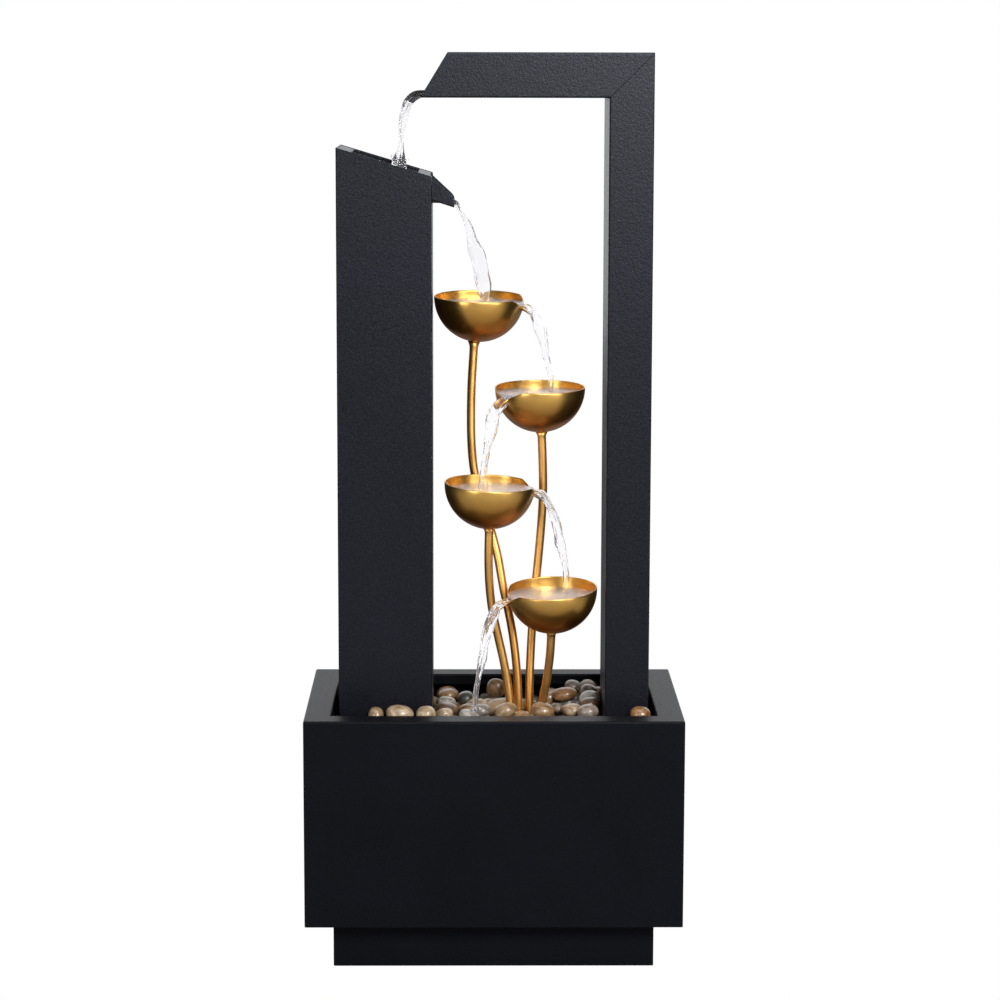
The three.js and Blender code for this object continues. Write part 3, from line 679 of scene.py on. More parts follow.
ARM_TIP_BOTTOM, ARM_TIP_TOP = -68.0, -43.0
arm_height = arm_high[2] - arm_bottom
TIP_LEAN = (ARM_TIP_TOP - ARM_TIP_BOTTOM) / arm_height


def arm_run(height):
    """The arm's two end planes as x at a height: the slanted tip, and the mitre."""
    above = height - arm_bottom
    return ARM_TIP_BOTTOM + TIP_LEAN * above, post_low[0] + MITRE_GAP + above


def arm_grid(sheet, edge):
    """The ring's loop lies in y and z; each row runs to the tip plane or to the mitre plane."""
    rows = []
    for inset, end, back in ((0, 1, edge), (0, 0, edge), (edge, 0, 0), (sheet - edge, 0, 0),
                             (sheet, 0, edge), (sheet, 1, edge), (sheet - edge, 1, 0), (edge, 1, 0)):
        loop = rounded_loop(post_half[1] - inset, arm_height / 2 - inset, max(TUBE_CORNER - inset, 0.2),
                            (0.0, arm_bottom + arm_height / 2))
        tip, mitre = arm_run(loop[:, 1])
        x = mitre - back if end else tip + back
        rows.append(np.column_stack([x, loop]))
    return np.array(rows)


coated("arch_beam", grid_part(arm_grid(SHEET, 0.3) * MM, close_rows=True), ("arch_arm",))
print("arch top in mm:", arm_high[2])


# %% [markdown]
# The arm's end plate leans with the tip and stops above the water slot. Under it, a lip of thin sheet
# leads the water out and bends it down. The lip is a strip: a smooth line in x and z with a thickness,
# carried straight across in y.

# %% Arm end plate and lip
def strip_grid(line, sheet, y0, y1):
    """A line of (x, z) points thickened by half the sheet each way along its normal, from y0 to y1."""
    along = np.gradient(line, axis=0)
    along /= np.linalg.norm(along, axis=1)[:, None]
    normal = np.column_stack([-along[:, 1], along[:, 0]])
    ring = np.concatenate([line + normal * sheet / 2, (line - normal * sheet / 2)[::-1]])
    return np.array([np.column_stack([ring[:, 0], np.full(len(ring), y), ring[:, 1]]) for y in (y0, y1)])


def smooth_line(points, count):
    """A Catmull-Rom curve through the points, evened out by its length."""
    points = np.asarray(points, float)
    padded = np.vstack([2 * points[0] - points[1], points, 2 * points[-1] - points[-2]])
    t = np.linspace(0, 1, 24, endpoint=False)[:, None, None]
    p0, p1, p2, p3 = (padded[k:len(padded) - 3 + k][None] for k in range(4))
    curve = 0.5 * (2 * p1 + (p2 - p0) * t + (2 * p0 - 5 * p1 + 4 * p2 - p3) * t ** 2
                   + (3 * p1 - p0 - 3 * p2 + p3) * t ** 3)
    curve = np.vstack([curve.transpose(1, 0, 2).reshape(-1, points.shape[1]), points[-1]])
    run = np.concatenate([[0], np.cumsum(np.linalg.norm(np.diff(curve, axis=0), axis=1))])
    even = np.linspace(0, run[-1], count)
    return np.column_stack([np.interp(even, run, curve[:, k]) for k in range(points.shape[1])])


end_low, end_high = corners_mm("arm_end_plate")
heights = np.array([end_low[2] + 0.1, end_high[2] - 0.1])
line = np.column_stack([arm_run(heights)[0] + 1.2, heights])
coated("arm_mouth_plate", capped(strip_grid(line, SHEET, end_low[1], end_high[1]) * MM), ("arm_end_plate",))

lip_low, lip_high = corners_mm("arm_lip")
seat = arm_bottom + SHEET + 0.9
lip_line = smooth_line([(lip_high[0], seat), (-62.0, seat), (-69.0, seat - 0.3), (-74.2, seat - 2.0),
                        (lip_low[0] + 0.6, arm_bottom - 4.3)], 18)
coated("arm_water_lip", capped(strip_grid(lip_line, THIN, lip_low[1], lip_high[1]) * MM), ("arm_lip",))

# %% [markdown]
# ## Bowls
# Each bowl is a spun half ball of thin sheet. Its rim is cut with a V, and a small trough of the same
# sheet is bent out of the cut, so that the bowl pours to one side. Working the shell out as a grid in
# azimuth and latitude lets the rim dip into the V by itself: the last line of latitude is lower there.

# %% Bowl shell
BOWL_RADIUS, BOWL_SHEET = 42.5, 1.2
NOTCH_DEPTH, NOTCH_HALF_ANGLE = 10.5, math.radians(33)
BOWL_LEANS = [(3.4, 0.6), (2.5, 0.0), (2.9, 2.5), (4.8, -1.8)]
BOWL_POURS = [-10.0, 213.0, 10.0, 190.0]


def rim_dip(azimuth):
    """How far the rim lies under its plane: a V with a slightly rounded foot round azimuth zero."""
    share = 1.02 - np.sqrt((azimuth / NOTCH_HALF_ANGLE) ** 2 + 0.012)
    return NOTCH_DEPTH * np.clip(share, 0.0, None)


def bowl_azimuths():
    """Even steps round the bowl, three times finer inside the notch, with a line on each of its ends."""
    inside = np.linspace(-NOTCH_HALF_ANGLE, NOTCH_HALF_ANGLE, 34, endpoint=False)
    outside = np.linspace(NOTCH_HALF_ANGLE, 2 * np.pi - NOTCH_HALF_ANGLE, 84, endpoint=False)
    return np.concatenate([inside, outside])


def bowl_shell():
    """Outer face from the pole to the rim, half a turn over the rim's edge, and the inner face back."""
    azimuth = bowl_azimuths()
    edge = np.arccos(rim_dip(azimuth) / BOWL_RADIUS)
    share = np.linspace(0, 1, 26)[:, None] ** 0.9
    middle_radius, half_sheet = BOWL_RADIUS - BOWL_SHEET / 2, BOWL_SHEET / 2
    latitude = [edge * s for s in share]
    radius = [np.full_like(edge, BOWL_RADIUS)] * len(share)
    for turn in np.linspace(0, np.pi, 7)[1:-1]:
        latitude.append(edge + half_sheet * math.sin(turn) / middle_radius)
        radius.append(np.full_like(edge, middle_radius + half_sheet * math.cos(turn)))
    latitude += [edge * s for s in share[::-1]]
    radius += [np.full_like(edge, BOWL_RADIUS - BOWL_SHEET)] * len(share)
    latitude, radius = np.array(latitude), np.array(radius)
    return np.stack([radius * np.sin(latitude) * np.cos(azimuth),
                     radius * np.sin(latitude) * np.sin(azimuth), -radius * np.cos(latitude)], -1)


# %% Pouring trough
def trough_grid(length=9.5, half_width=7.5, depth=4.0, sheet=1.1):
    """A trough that leaves the notch's foot along +x and bends down: a parabola across, closed round.

    Along it, the floor starts level with the notch's foot and falls off as the square of the run."""
    run = np.linspace(-0.18, 1, 16)[:, None]
    across = np.linspace(-1, 1, 13)[None, :]
    out = np.clip(run, 0, None)
    floor = -NOTCH_DEPTH - 0.9 - 2.6 * out - 2.9 * out ** 2 + 5 * np.clip(-run, 0, None)
    wide = half_width * (1 - 0.30 * out ** 1.5)
    x = BOWL_RADIUS - 2.0 + length * run - 1.6 * across ** 2 * out
    y = wide * across
    bowl_follow = (BOWL_RADIUS - np.sqrt(BOWL_RADIUS ** 2 - y ** 2)) * (1 - out)
    z = floor + depth * (1 - 0.25 * out) * np.abs(across) ** 1.7
    top = np.stack([x - bowl_follow, y + 0 * run, z + sheet + 0 * run], -1)
    under = np.stack([x - bowl_follow, y + 0 * run, z + 0 * run], -1)
    return np.concatenate([under, top[:, ::-1]], axis=1)


def bowl_turn(lean, pours):
    """The turn about z that points the notch, then the lean about y, then the lean about x."""
    a, b = np.radians(lean)
    c = math.radians(pours)
    about_x = np.array([[1, 0, 0], [0, math.cos(a), -math.sin(a)], [0, math.sin(a), math.cos(a)]])
    about_y = np.array([[math.cos(b), 0, math.sin(b)], [0, 1, 0], [-math.sin(b), 0, math.cos(b)]])
    about_z = np.array([[math.cos(c), -math.sin(c), 0], [math.sin(c), math.cos(c), 0], [0, 0, 1]])
    return about_x @ about_y @ about_z


def bowl_centre(node, turn):
    """The CAD bowl's lowest point is its pole; the centre is one radius up the bowl's own axis."""
    points = node_points(node)
    return points[points[:, 2].argmin()] + turn @ np.array([0, 0, BOWL_RADIUS])


BOWL_CENTRES = []
for number, (lean, pours) in enumerate(zip(BOWL_LEANS, BOWL_POURS), 1):
    turn = bowl_turn(lean, pours)
    centre = bowl_centre(f"bowl_{number}", turn)
    BOWL_CENTRES.append(centre)
    parts = [((points @ turn.T + centre) * MM, quads)
             for points, quads in (grid_part(bowl_shell()), capped(trough_grid()))]
    make_piece(f"golden_bowl_{number}", joined(parts), BOWL_GOLD, True, (f"bowl_{number}",))
    print("rim centre in mm:", np.round(centre, 1))

# %% [markdown]
# ## Stems
# A stem is an 8 mm tube bent by hand, welded under its bowl. Its centre line comes from the CAD node:
# that is a run of eight-cornered rings, so the middles of the rings are the line's points. A smooth
# curve goes through them, and the tube flares a little at its top, as the weld does.

# %% Stems
STEM_RADIUS = 4.0
WELD_SINK, WELD_FLARE, WELD_LENGTH = 0.5, 2.2, 1.3


def stem_line(node, corners=8):
    """The middles of the CAD stem's rings, from the foot up."""
    points = node_points(node)
    points = points[points[:, 2].argsort()]
    return points[:len(points) // corners * corners].reshape(-1, corners, 3).mean(axis=1)


def tube_grid(line, radius, sides=24):
    """Circles round a line, square to it: two directions across are kept level and turned with it."""
    along = np.gradient(line, axis=0)
    along /= np.linalg.norm(along, axis=1)[:, None]
    across = np.cross(along, [0.0, 1.0, 0.0])
    across /= np.linalg.norm(across, axis=1)[:, None]
    other = np.cross(along, across)
    angle = np.linspace(0, 2 * np.pi, sides, endpoint=False)
    circle = across[:, None] * np.cos(angle)[None, :, None] + other[:, None] * np.sin(angle)[None, :, None]
    return line[:, None] + circle * np.broadcast_to(radius, len(line))[:, None, None]


def closed_tube(line, radius, sides=24):
    """A tube whose ends draw in to the middle, so that it is closed."""
    return grid_part(with_ends(tube_grid(line, radius, sides), line[0], line[-1]))


STEM_FEET = []
for number in range(1, 5):
    line = smooth_line(stem_line(f"stem_{number}"), 90)
    STEM_FEET.append(line[0])
    under_bowl = BOWL_CENTRES[number - 1]
    offset = line[-1][:2] - under_bowl[:2]
    line[-1][2] = under_bowl[2] - math.sqrt(BOWL_RADIUS ** 2 - offset @ offset) + WELD_SINK
    down = np.concatenate([[0], np.cumsum(np.linalg.norm(np.diff(line[::-1], axis=0), axis=1))])[::-1]
    points, quads = closed_tube(line, STEM_RADIUS + WELD_FLARE * np.exp(-down / WELD_LENGTH))
    make_piece(f"golden_stem_{number}", (points * MM, quads), STEM_GOLD, True, (f"stem_{number}",))

# %% [markdown]
# ## River pebbles
# A pebble is a flattened ball whose surface swells and dips a little in long waves. Hundreds of them lie
# in the basin. Some are CAD pieces; the bed under them is a single CAD slab, which is replaced by loose
# pebbles that settle here by a simple rule: sink a little, push apart whatever overlaps, repeat.
# Squashing the heights makes every flat pebble a ball, so one distance test is enough.

# %% Settle the loose pebbles
FLATNESS = 0.60
RANDOM = np.random.default_rng(7)
bed_low, bed_high = corners_mm("pebble_bed")
OPENING = np.array([half_w - RIM_WIDTH, half_d - RIM_WIDTH]) - 1.0
named = sorted(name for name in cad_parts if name.startswith("pebble_") and name != "pebble_bed")
named_boxes = [corners_mm(name) for name in named]
named_middles = np.array([(low + high) / 2 for low, high in named_boxes])
named_halves = np.array([(high - low) / 2 for low, high in named_boxes])


def push_from_posts(places, radii):
    """Moves pebbles out of the pillar and the column, by the shorter way in x or y."""
    for low, high in (corners_mm("pillar_shell"), corners_mm("arch_column")):
        middle, half = (low + high)[:2] / 2, (high - low)[:2] / 2
        offset = places[:, :2] - middle
        depth = half + radii[:, None] - np.abs(offset)
        inside = (depth > 0).all(axis=1)
        axis = depth.argmin(axis=1)
        rows = np.flatnonzero(inside)
        side = np.where(offset[rows, axis[rows]] < 0, -1.0, 1.0)
        places[rows, axis[rows]] += side * depth[rows, axis[rows]]


def push_from_stems(places, radii):
    """Moves pebbles away from the stems' feet, straight out from each stem."""
    for foot in STEM_FEET:
        offset = places[:, :2] - foot[:2]
        far = np.linalg.norm(offset, axis=1) + 1e-6
        need = np.clip(radii * 0.9 + STEM_RADIUS - far, 0, None)
        places[:, :2] += offset / far[:, None] * need[:, None]


def settle(places, radii, fixed, fixed_radii, floor, rounds=320):
    """Each round sinks all, then shares each overlap between the two; fixed ones don't move."""
    everyone = np.concatenate([radii, fixed_radii])
    loose = len(radii)
    for step in range(rounds):
        places[:, 2] -= 0.9 if step < rounds * 0.7 else 0.25
        for _ in range(3):
            together = np.concatenate([places, fixed])
            gap = together[:loose, None] - together[None]
            far = np.linalg.norm(gap, axis=2) + 1e-6
            need = radii[:, None] + everyone[None] - far
            need[np.arange(loose), np.arange(loose)] = 0
            need = np.clip(need, 0, None)
            share = np.where(np.arange(len(everyone)) < loose, 0.5, 1.0)[None]
            places += ((gap / far[..., None]) * (need * share * 0.8)[..., None]).sum(axis=1)
            push_from_posts(places, radii)
            push_from_stems(places, radii)
            places[:, :2] = np.clip(places[:, :2], radii[:, None] - OPENING, OPENING - radii[:, None])
            places[:, 2] = np.maximum(places[:, 2], floor + radii)
    return places


POURED, POUR_HEIGHT = 236, 25.0
radii = RANDOM.uniform(8.2, 12.4, POURED)
places = np.column_stack([RANDOM.uniform(-OPENING[0], OPENING[0], POURED),
                          RANDOM.uniform(-OPENING[1], OPENING[1], POURED),
                          RANDOM.uniform(bed_low[2], bed_high[2] + POUR_HEIGHT, POURED) / FLATNESS])
fixed = named_middles / [1, 1, FLATNESS]
places = settle(places, radii, fixed, named_halves[:, :2].mean(axis=1), bed_low[2] / FLATNESS)
places[:, 2] *= FLATNESS

# Pebbles that the crowd pushed up too high are taken off, as a hand would level the bed. In front of
# the pillar and of the column the bed lies lower.
FRONT_STRIP, PILLAR_SIDE, COLUMN_SIDE = -48.0, -52.0, 100.0
LOW_LEVEL, LEVEL = 222.5, 232.0
in_front = (places[:, 1] < FRONT_STRIP) & ((places[:, 0] < PILLAR_SIDE) | (places[:, 0] > COLUMN_SIDE))
level = np.where(in_front, LOW_LEVEL, LEVEL)
kept = places[:, 2] < level
places, radii = places[kept], radii[kept]
LOOSE = len(radii)
print("loose pebbles:", LOOSE, "highest middle in mm:", round(places[:, 2].max(), 1))


# %% [markdown]
# Colour goes onto the pebbles as attributes, which travel with each pebble: *kind* picks its stone, and
# *grain* holds its own coordinates, in pebble sizes, so that veins and bands follow its shape.

# %% Pebble shapes
def pebble_grids(middles, halves, turns, tips, rows=15, columns=24):
    """Balls with long waves, squared off a little, then scaled, tipped, turned and moved, all at once.

    The wave adds a few sines of the direction, with each pebble's own weights and phases."""
    count = len(middles)
    ball = ball_grid(rows, columns)
    rng = np.random.default_rng(count)
    wave = np.zeros((count, rows, columns))
    for power, size in ((1.3, 0.07), (2.3, 0.045), (3.4, 0.02)):
        direction = rng.normal(size=(count, 3))
        direction /= np.linalg.norm(direction, axis=1)[:, None]
        phase = rng.uniform(0, 2 * np.pi, count)
        wave += size * np.sin(power * np.einsum("ck,rsk->crs", direction, ball) * 1.6 + phase[:, None, None])
    boxy = np.abs(ball) ** 0.90 * np.sign(ball)
    shape = (boxy[None] * (1 + wave)[..., None]) * (0.985 * halves)[:, None, None]
    tip_s, tip_c = np.sin(tips)[:, None, None], np.cos(tips)[:, None, None]
    x, y, z = shape[..., 0], shape[..., 1], shape[..., 2]
    x, z = x * tip_c + z * tip_s, z * tip_c - x * tip_s
    turn_s, turn_c = np.sin(turns)[:, None, None], np.cos(turns)[:, None, None]
    x, y = x * turn_c - y * turn_s, x * turn_s + y * turn_c
    grid = np.stack([x, y, z], -1) + middles[:, None, None]
    return grid, np.broadcast_to(boxy[None], grid.shape)


def pebble_part(grid, local, kinds, seeds):
    """Several pebbles as one part with their kind and grain at each point."""
    kind = np.repeat(kinds, grid.shape[1] * grid.shape[2])
    grain = (local + seeds[:, None, None, None] * [17.0, 5.0, 11.0]).reshape(-1, 3)
    return repeated_part(grid), {"kind": kind, "grain": grain}


# %% [markdown]
# One stone material serves all pebbles. The kind picks a body colour and a vein colour from two step
# ramps; brown stains, bands, clouds and speckles then vary it. Wet and tumbled, the stones have a clear
# coat.

# %% Stone
STONES = [  # body colour, vein colour
    ((0.190, 0.132, 0.074), (0.34, 0.26, 0.17)),  # cream
    ((0.150, 0.092, 0.044), (0.27, 0.19, 0.11)),  # pale tan
    ((0.120, 0.062, 0.024), (0.24, 0.150, 0.070)),  # tan
    ((0.120, 0.050, 0.016), (0.22, 0.112, 0.042)),  # brown orange
    ((0.056, 0.029, 0.016), (0.12, 0.070, 0.040)),  # brown
    ((0.026, 0.018, 0.013), (0.14, 0.100, 0.066)),  # dark brown with cream veins
    ((0.100, 0.080, 0.060), (0.21, 0.175, 0.14)),  # beige grey
    ((0.075, 0.066, 0.054), (0.19, 0.17, 0.14)),  # striped grey
    ((0.020, 0.021, 0.016), (0.052, 0.052, 0.040)),  # dark green grey
    ((0.140, 0.125, 0.106), (0.28, 0.26, 0.23)),  # pale grey
]
KINDS = len(STONES)
CREAM, PALE_TAN, TAN, ORANGE, BROWN, DARK, BEIGE, STRIPED, GREEN, PALE_GREY = range(KINDS)


def stone_finish():
    """Step ramps by kind, mixed by stains, wavy bands and clouds, with dark speckles, under a wet coat."""
    material, tree, out = new_material("river_stone")
    kind = add_node(tree, "ShaderNodeAttribute", attribute_name="kind").outputs["Fac"]
    grain = add_node(tree, "ShaderNodeAttribute", attribute_name="grain").outputs["Vector"]
    steps = [[(i / KINDS, stone[k]) for i, stone in enumerate(STONES)] for k in (0, 1)]
    body, vein = (ramp(tree, kind, stops, "CONSTANT") for stops in steps)
    warp = noise(tree, grain, 1.5, 4.0, 0.6)
    bands = add_node(tree, "ShaderNodeTexWave", {
        "Vector": grain, "Scale": 0.42, "Distortion": 9.0, "Detail": 3.0, "Detail Scale": 0.9},
        bands_direction="DIAGONAL").outputs["Fac"]
    thin = span(tree, bands, 0.70, 0.97, 0.0, 0.68)
    cloud = span(tree, warp, 0.44, 0.62, 0.0, 0.80)
    stain = span(tree, noise(tree, grain, 2.3, 3.0, 0.6), 0.50, 0.62, 0.0, 0.75)
    patched = mix(tree, stain, body, mix(tree, 0.65, body, (0.10, 0.040, 0.012)))
    veined = mix(tree, cloud, mix(tree, thin, patched, vein), vein)
    speckle = span(tree, noise(tree, grain, 9.0, 2.0, 0.7), 0.56, 0.68, 0.0, 0.55)
    speckled = mix(tree, speckle, veined, mix(tree, 0.6, veined, (0.03, 0.022, 0.016)))
    fine = noise(tree, grain, 26.0, 3.0, 0.6)
    colour = mix(tree, span(tree, fine, 0.35, 0.65, 0.0, 0.35), speckled, mix(tree, 0.4, speckled, vein))
    surface(tree, out, {
        "Base Color": colour, "Roughness": span(tree, fine, 0.3, 0.7, 0.34, 0.50), "Coat Weight": 0.5,
        "Coat Roughness": 0.14, "Normal": bump(tree, fine, 0.16, 0.0004)})
    return material


STONE = stone_finish()


def kind_value(kinds):
    """The middle of each kind's step on the ramps."""
    return (np.asarray(kinds) + 0.5) / KINDS


# %% Pebble pieces
NAMED_KINDS = [CREAM, CREAM, PALE_TAN, TAN, PALE_GREY, BROWN, GREEN, TAN, STRIPED, PALE_TAN, TAN, BEIGE,
               ORANGE, DARK, BROWN, CREAM, BEIGE, ORANGE]
NAMED_TIPS = np.radians([6, -6, 8, -9, 3, 6, -8, 12, -4, -17, 11, 9, -6, 14, -6, 5, -8, 6])
for index, name in enumerate(named):
    one = slice(index, index + 1)
    grid, local = pebble_grids(named_middles[one], named_halves[one], np.zeros(1), NAMED_TIPS[one], 23, 36)
    part, values = pebble_part(grid, local, kind_value(NAMED_KINDS[one]), np.array([index * 0.37]))
    make_piece(name.replace("pebble", "river_pebble"), part, STONE, True, (name,),
               values=values)

LOOSE_WEIGHTS = np.array([16, 14, 13, 11, 10, 6, 12, 7, 5, 6], float)
loose_kinds = RANDOM.choice(KINDS, LOOSE, p=LOOSE_WEIGHTS / LOOSE_WEIGHTS.sum())
halves = np.column_stack([radii * RANDOM.uniform(0.92, 1.12, LOOSE),
                          radii * RANDOM.uniform(0.78, 0.98, LOOSE),
                          radii * FLATNESS * RANDOM.uniform(0.92, 1.12, LOOSE)])
grid, local = pebble_grids(places, halves, RANDOM.uniform(0, 2 * np.pi, LOOSE),
                           np.radians(RANDOM.normal(0, 13, LOOSE)))
part, values = pebble_part(grid, local, kind_value(loose_kinds), np.arange(LOOSE) * 0.71)
make_piece("loose_pebbles", part, STONE, True, ("pebble_bed",), values=values)

# %% [markdown]
# ## Water
# Water runs over the arm's lip, through the pillar's slot, down the chute and from bowl to bowl. It is
# modelled, not simulated: a filled bowl is a disc with ripples over the bowl's own inside, and a fall
# is a closed tube whose width, depth and lumps change along a given curve. Each body of water is a
# closed mesh, because light has to enter and leave it for the refraction to be right.

# %% Water finishes
def water_finish(name, tint, roughness, clear, scale, strength):
    """Refraction with a fine moving-water bump, drawn out downwards; small bubbles make it milky.

    The milky share is what clear leaves over. It is small in the falls and larger in the stirred bowls."""
    material, tree, out = new_material(name)
    drawn = add_node(tree, "ShaderNodeMapping", {"Vector": object_place(tree), "Scale": (1.0, 1.0, 0.30)})
    ripple = noise(tree, drawn.outputs[0], scale, 2.0, 0.5)
    surface(tree, out, {
        "Base Color": (*tint, 1), "Roughness": roughness, "IOR": 1.333,
        "Transmission Weight": clear, "Normal": bump(tree, ripple, strength, 0.0009)})
    return material


FALLING_WATER = water_finish("falling_water", (0.93, 0.925, 0.95), 0.05, 0.95, 330.0, 0.55)
BOWL_WATER = water_finish("bowl_water", (0.80, 0.79, 0.815), 0.13, 0.72, 420.0, 0.75)


# %% Water in the bowls
def bowl_water(centre, drop, impact, rings=44, sides=112):
    """A disc at a height below the rim's centre, with ring waves round the impact, over a ball's cap.

    The waves are a sine of the distance from the impact, dying away; two slow sines cross them."""
    ball = BOWL_RADIUS - BOWL_SHEET + 0.25
    flat = math.sqrt(ball ** 2 - drop ** 2)
    share = np.linspace(0, 1, rings)[:, None]
    azimuth = np.linspace(0, 2 * np.pi, sides, endpoint=False)[None]
    x, y = flat * share * np.cos(azimuth), flat * share * np.sin(azimuth)
    away = np.hypot(x - impact[0], y - impact[1])
    wave = 0.75 * np.cos(away * 0.95) * np.exp(-away / 13) + 1.1 * np.exp(-(away / 4.2) ** 2)
    wave = wave + 0.16 * np.sin(0.45 * x + 0.3 * y) + 0.14 * np.sin(0.52 * y - 0.37 * x + 1.0)
    top = np.stack([x, y, -drop + wave * (1 - share ** 10)], -1)
    latitude = np.linspace(math.acos(drop / ball), 0, 16)[1:, None]
    under = np.stack([ball * np.sin(latitude) * np.cos(azimuth), ball * np.sin(latitude) * np.sin(azimuth),
                      -ball * np.cos(latitude) + 0 * azimuth], -1)
    return np.concatenate([top, under]) + centre


# Where each bowl's fall lands, from the bowl's centre, and how far the water lies under its rim centre.
IMPACTS = [(6.0, -4.0), (11.0, -4.0), (-6.0, 0.0), (15.0, 12.0)]
WATER_DROPS = [4.6, 4.4, 4.6, 5.6]
for number, (centre, drop, impact) in enumerate(zip(BOWL_CENTRES, WATER_DROPS, IMPACTS), 1):
    make_piece(f"bowl_water_{number}", grid_part(bowl_water(centre, drop, impact) * MM), BOWL_WATER)


# %% [markdown]
# A fall's section is an ellipse: its depth lies across the flow, and its width is what shows from the
# front. Both are given at even steps along the fall. Travelling lumps and a slow twist make it live.

# %% Falls
def fall_grid(path, widths, depths, seed, lump, count=220, sides=40):
    """Ellipses square to a smooth line, with widths and depths in between the given ones.

    Each radius is multiplied by 1 plus sines of the angle and the run, with seeded phases."""
    line = smooth_line(path, count)
    share = np.linspace(0, 1, count)
    run = share * np.linalg.norm(np.diff(line, axis=0), axis=1).sum()
    along = np.gradient(line, axis=0)
    along /= np.linalg.norm(along, axis=1)[:, None]
    heading = line[-1] - line[0]
    across = np.array([-heading[1], heading[0], 0.0]) / np.hypot(*heading[:2])
    across = across - along * (along @ across)[:, None]
    across /= np.linalg.norm(across, axis=1)[:, None]
    broad = np.cross(along, across)
    half_width, half_depth = (np.interp(share, np.linspace(0, 1, len(v)), v)[:, None] / 2
                              for v in (widths, depths))
    rng = np.random.default_rng(seed)
    phase = rng.uniform(0, 2 * np.pi, 6)
    angle = np.linspace(0, 2 * np.pi, sides, endpoint=False)[None]
    s = run[:, None]
    grown = np.clip(share * 6, 0, 1)[:, None]
    lumps = (np.sin(s / 4.6 + phase[0]) * 0.5 + np.sin(s / 8.3 + phase[1]) * 0.8
             + np.sin(s / 2.3 + phase[2]) * 0.2)
    radial = 1 + grown * lump * (lumps + 0.9 * np.sin(2 * angle + s / 9.0 + phase[3])
                                 + 0.6 * np.sin(3 * angle - s / 6.5 + phase[4])
                                 + 0.6 * np.sin(5 * angle + s / 11.0 + phase[5])
                                 + 0.45 * np.sin(9 * angle - s / 7.5 + phase[0]))
    turn = 0.45 * np.sin(s / 24 + phase[5]) * grown
    a, b = half_depth * np.cos(angle) * radial, half_width * np.sin(angle) * radial
    a, b = a * np.cos(turn) - b * np.sin(turn), a * np.sin(turn) + b * np.cos(turn)
    grid = line[:, None] + across[:, None] * a[..., None] + broad[:, None] * b[..., None]
    return with_ends(grid, line[0], line[-1])


def from_notch(number):
    """Two points in the bowl's notch, under the water and over its foot, where a fall begins."""
    turn = bowl_turn(BOWL_LEANS[number - 1], BOWL_POURS[number - 1])
    return [tuple(BOWL_CENTRES[number - 1] + turn @ np.array(p)) for p in ((31.0, 0, -6.6), (38.0, 0, -7.4))]


FALLS = {  # path, widths seen from the front, depths across the flow, lumpiness
    "arm_fall": ([(-46, 0, 808.2), (-60, 0, 808.0), (-68, 0, 807.2), (-74.5, 0, 804.6), (-79.5, 0, 799.4),
                  (-82, 0, 792), (-84, 0, 782.9), (-86, 0, 769.1), (-87, 0, 755.3), (-88.4, 0, 746.1),
                  (-89, 0, 738)],
                 [2, 2.4, 3.4, 4.2, 4.6, 5, 5.5, 6, 5, 5.5, 7, 10, 12],
                 [42, 42, 38, 30, 21, 15, 12, 10, 9, 8, 9, 11, 12], 0.10),
    "chute_fall": ([(-128, 0, 724.2), (-95, 0, 719.4), (-62, 0, 713.6), (-44, 0, 709.2), (-36.1, 0, 706.4),
                    (-32.4, 1, 700.9), (-28.7, 2, 694.4), (-24.4, 3, 685.1), (-19.8, 5, 670.1),
                    (-14.6, 7, 654.1), (-10.9, 9, 638.1), (-8.5, 11, 622.9), (-8, 12, 611.5)],
                   [2.6, 2.6, 2.8, 3, 3.2, 3.4, 3.6, 4, 4.4, 8, 12, 15, 13.5, 13, 8],
                   [60, 62, 62, 58, 46, 26, 14, 8, 6, 5, 5, 5, 5, 6, 7], 0.11),
    "bowl_fall_1": (from_notch(1) + [(34.2, 8, 607.6), (40.7, 7, 596.1), (45.6, 6, 580.3), (48.8, 5, 564.4),
                                     (52.9, 4, 548), (54.6, 4, 527)],
                    [4, 4.5, 6, 9.5, 10, 9, 5.5, 5, 5, 5.5], [14, 14, 13, 11, 8, 6, 5, 5, 4.5, 5], 0.11),
    "bowl_fall_2": (from_notch(2) + [(1.0, -17.5, 513.2), (-2.7, -22, 497), (-6.9, -24, 476.4),
                                     (-9.5, -26, 458.8), (-9.7, -27, 440)],
                    [4, 5, 9, 12, 9, 7, 7.5, 8, 7], [14, 14, 13, 10, 8, 7, 6, 6, 6], 0.11),
    "bowl_fall_3": (from_notch(3) + [(45, -20, 435.5), (52.1, -18, 424.9), (58.3, -17, 408.6),
                                     (62, -16, 391.3), (66.4, -15.5, 373), (68.4, -15, 355.6),
                                     (69.5, -15, 339)],
                    [4, 4.5, 6, 6.5, 9, 10, 6, 5.5, 5.5, 5], [14, 14, 12, 9, 8, 7, 6, 5, 5, 5], 0.11),
    "bowl_fall_4": (from_notch(4) + [(4.6, -37, 333.6), (-0.6, -39, 323.6), (-7, -41, 304.4),
                                     (-10.6, -42, 285.1), (-13.8, -43, 268.1), (-16.2, -44, 253.9),
                                     (-18, -44, 241.4), (-19.4, -44, 227)],
                    [4, 5, 8, 9, 9, 8, 6.5, 5, 4.5, 5.5, 6], [14, 14, 13, 10, 8, 7, 6, 5, 5, 5, 5], 0.13),
}
for seed, (name, (path, widths, depths, lump)) in enumerate(FALLS.items(), 11):
    make_piece(name, grid_part(fall_grid(path, widths, depths, seed, lump) * MM), FALLING_WATER)


# %% [markdown]
# Where a fall lands, it throws up small drops. They are many and small, so each is a ball of few faces.
# Their places are drawn once from a seeded generator.

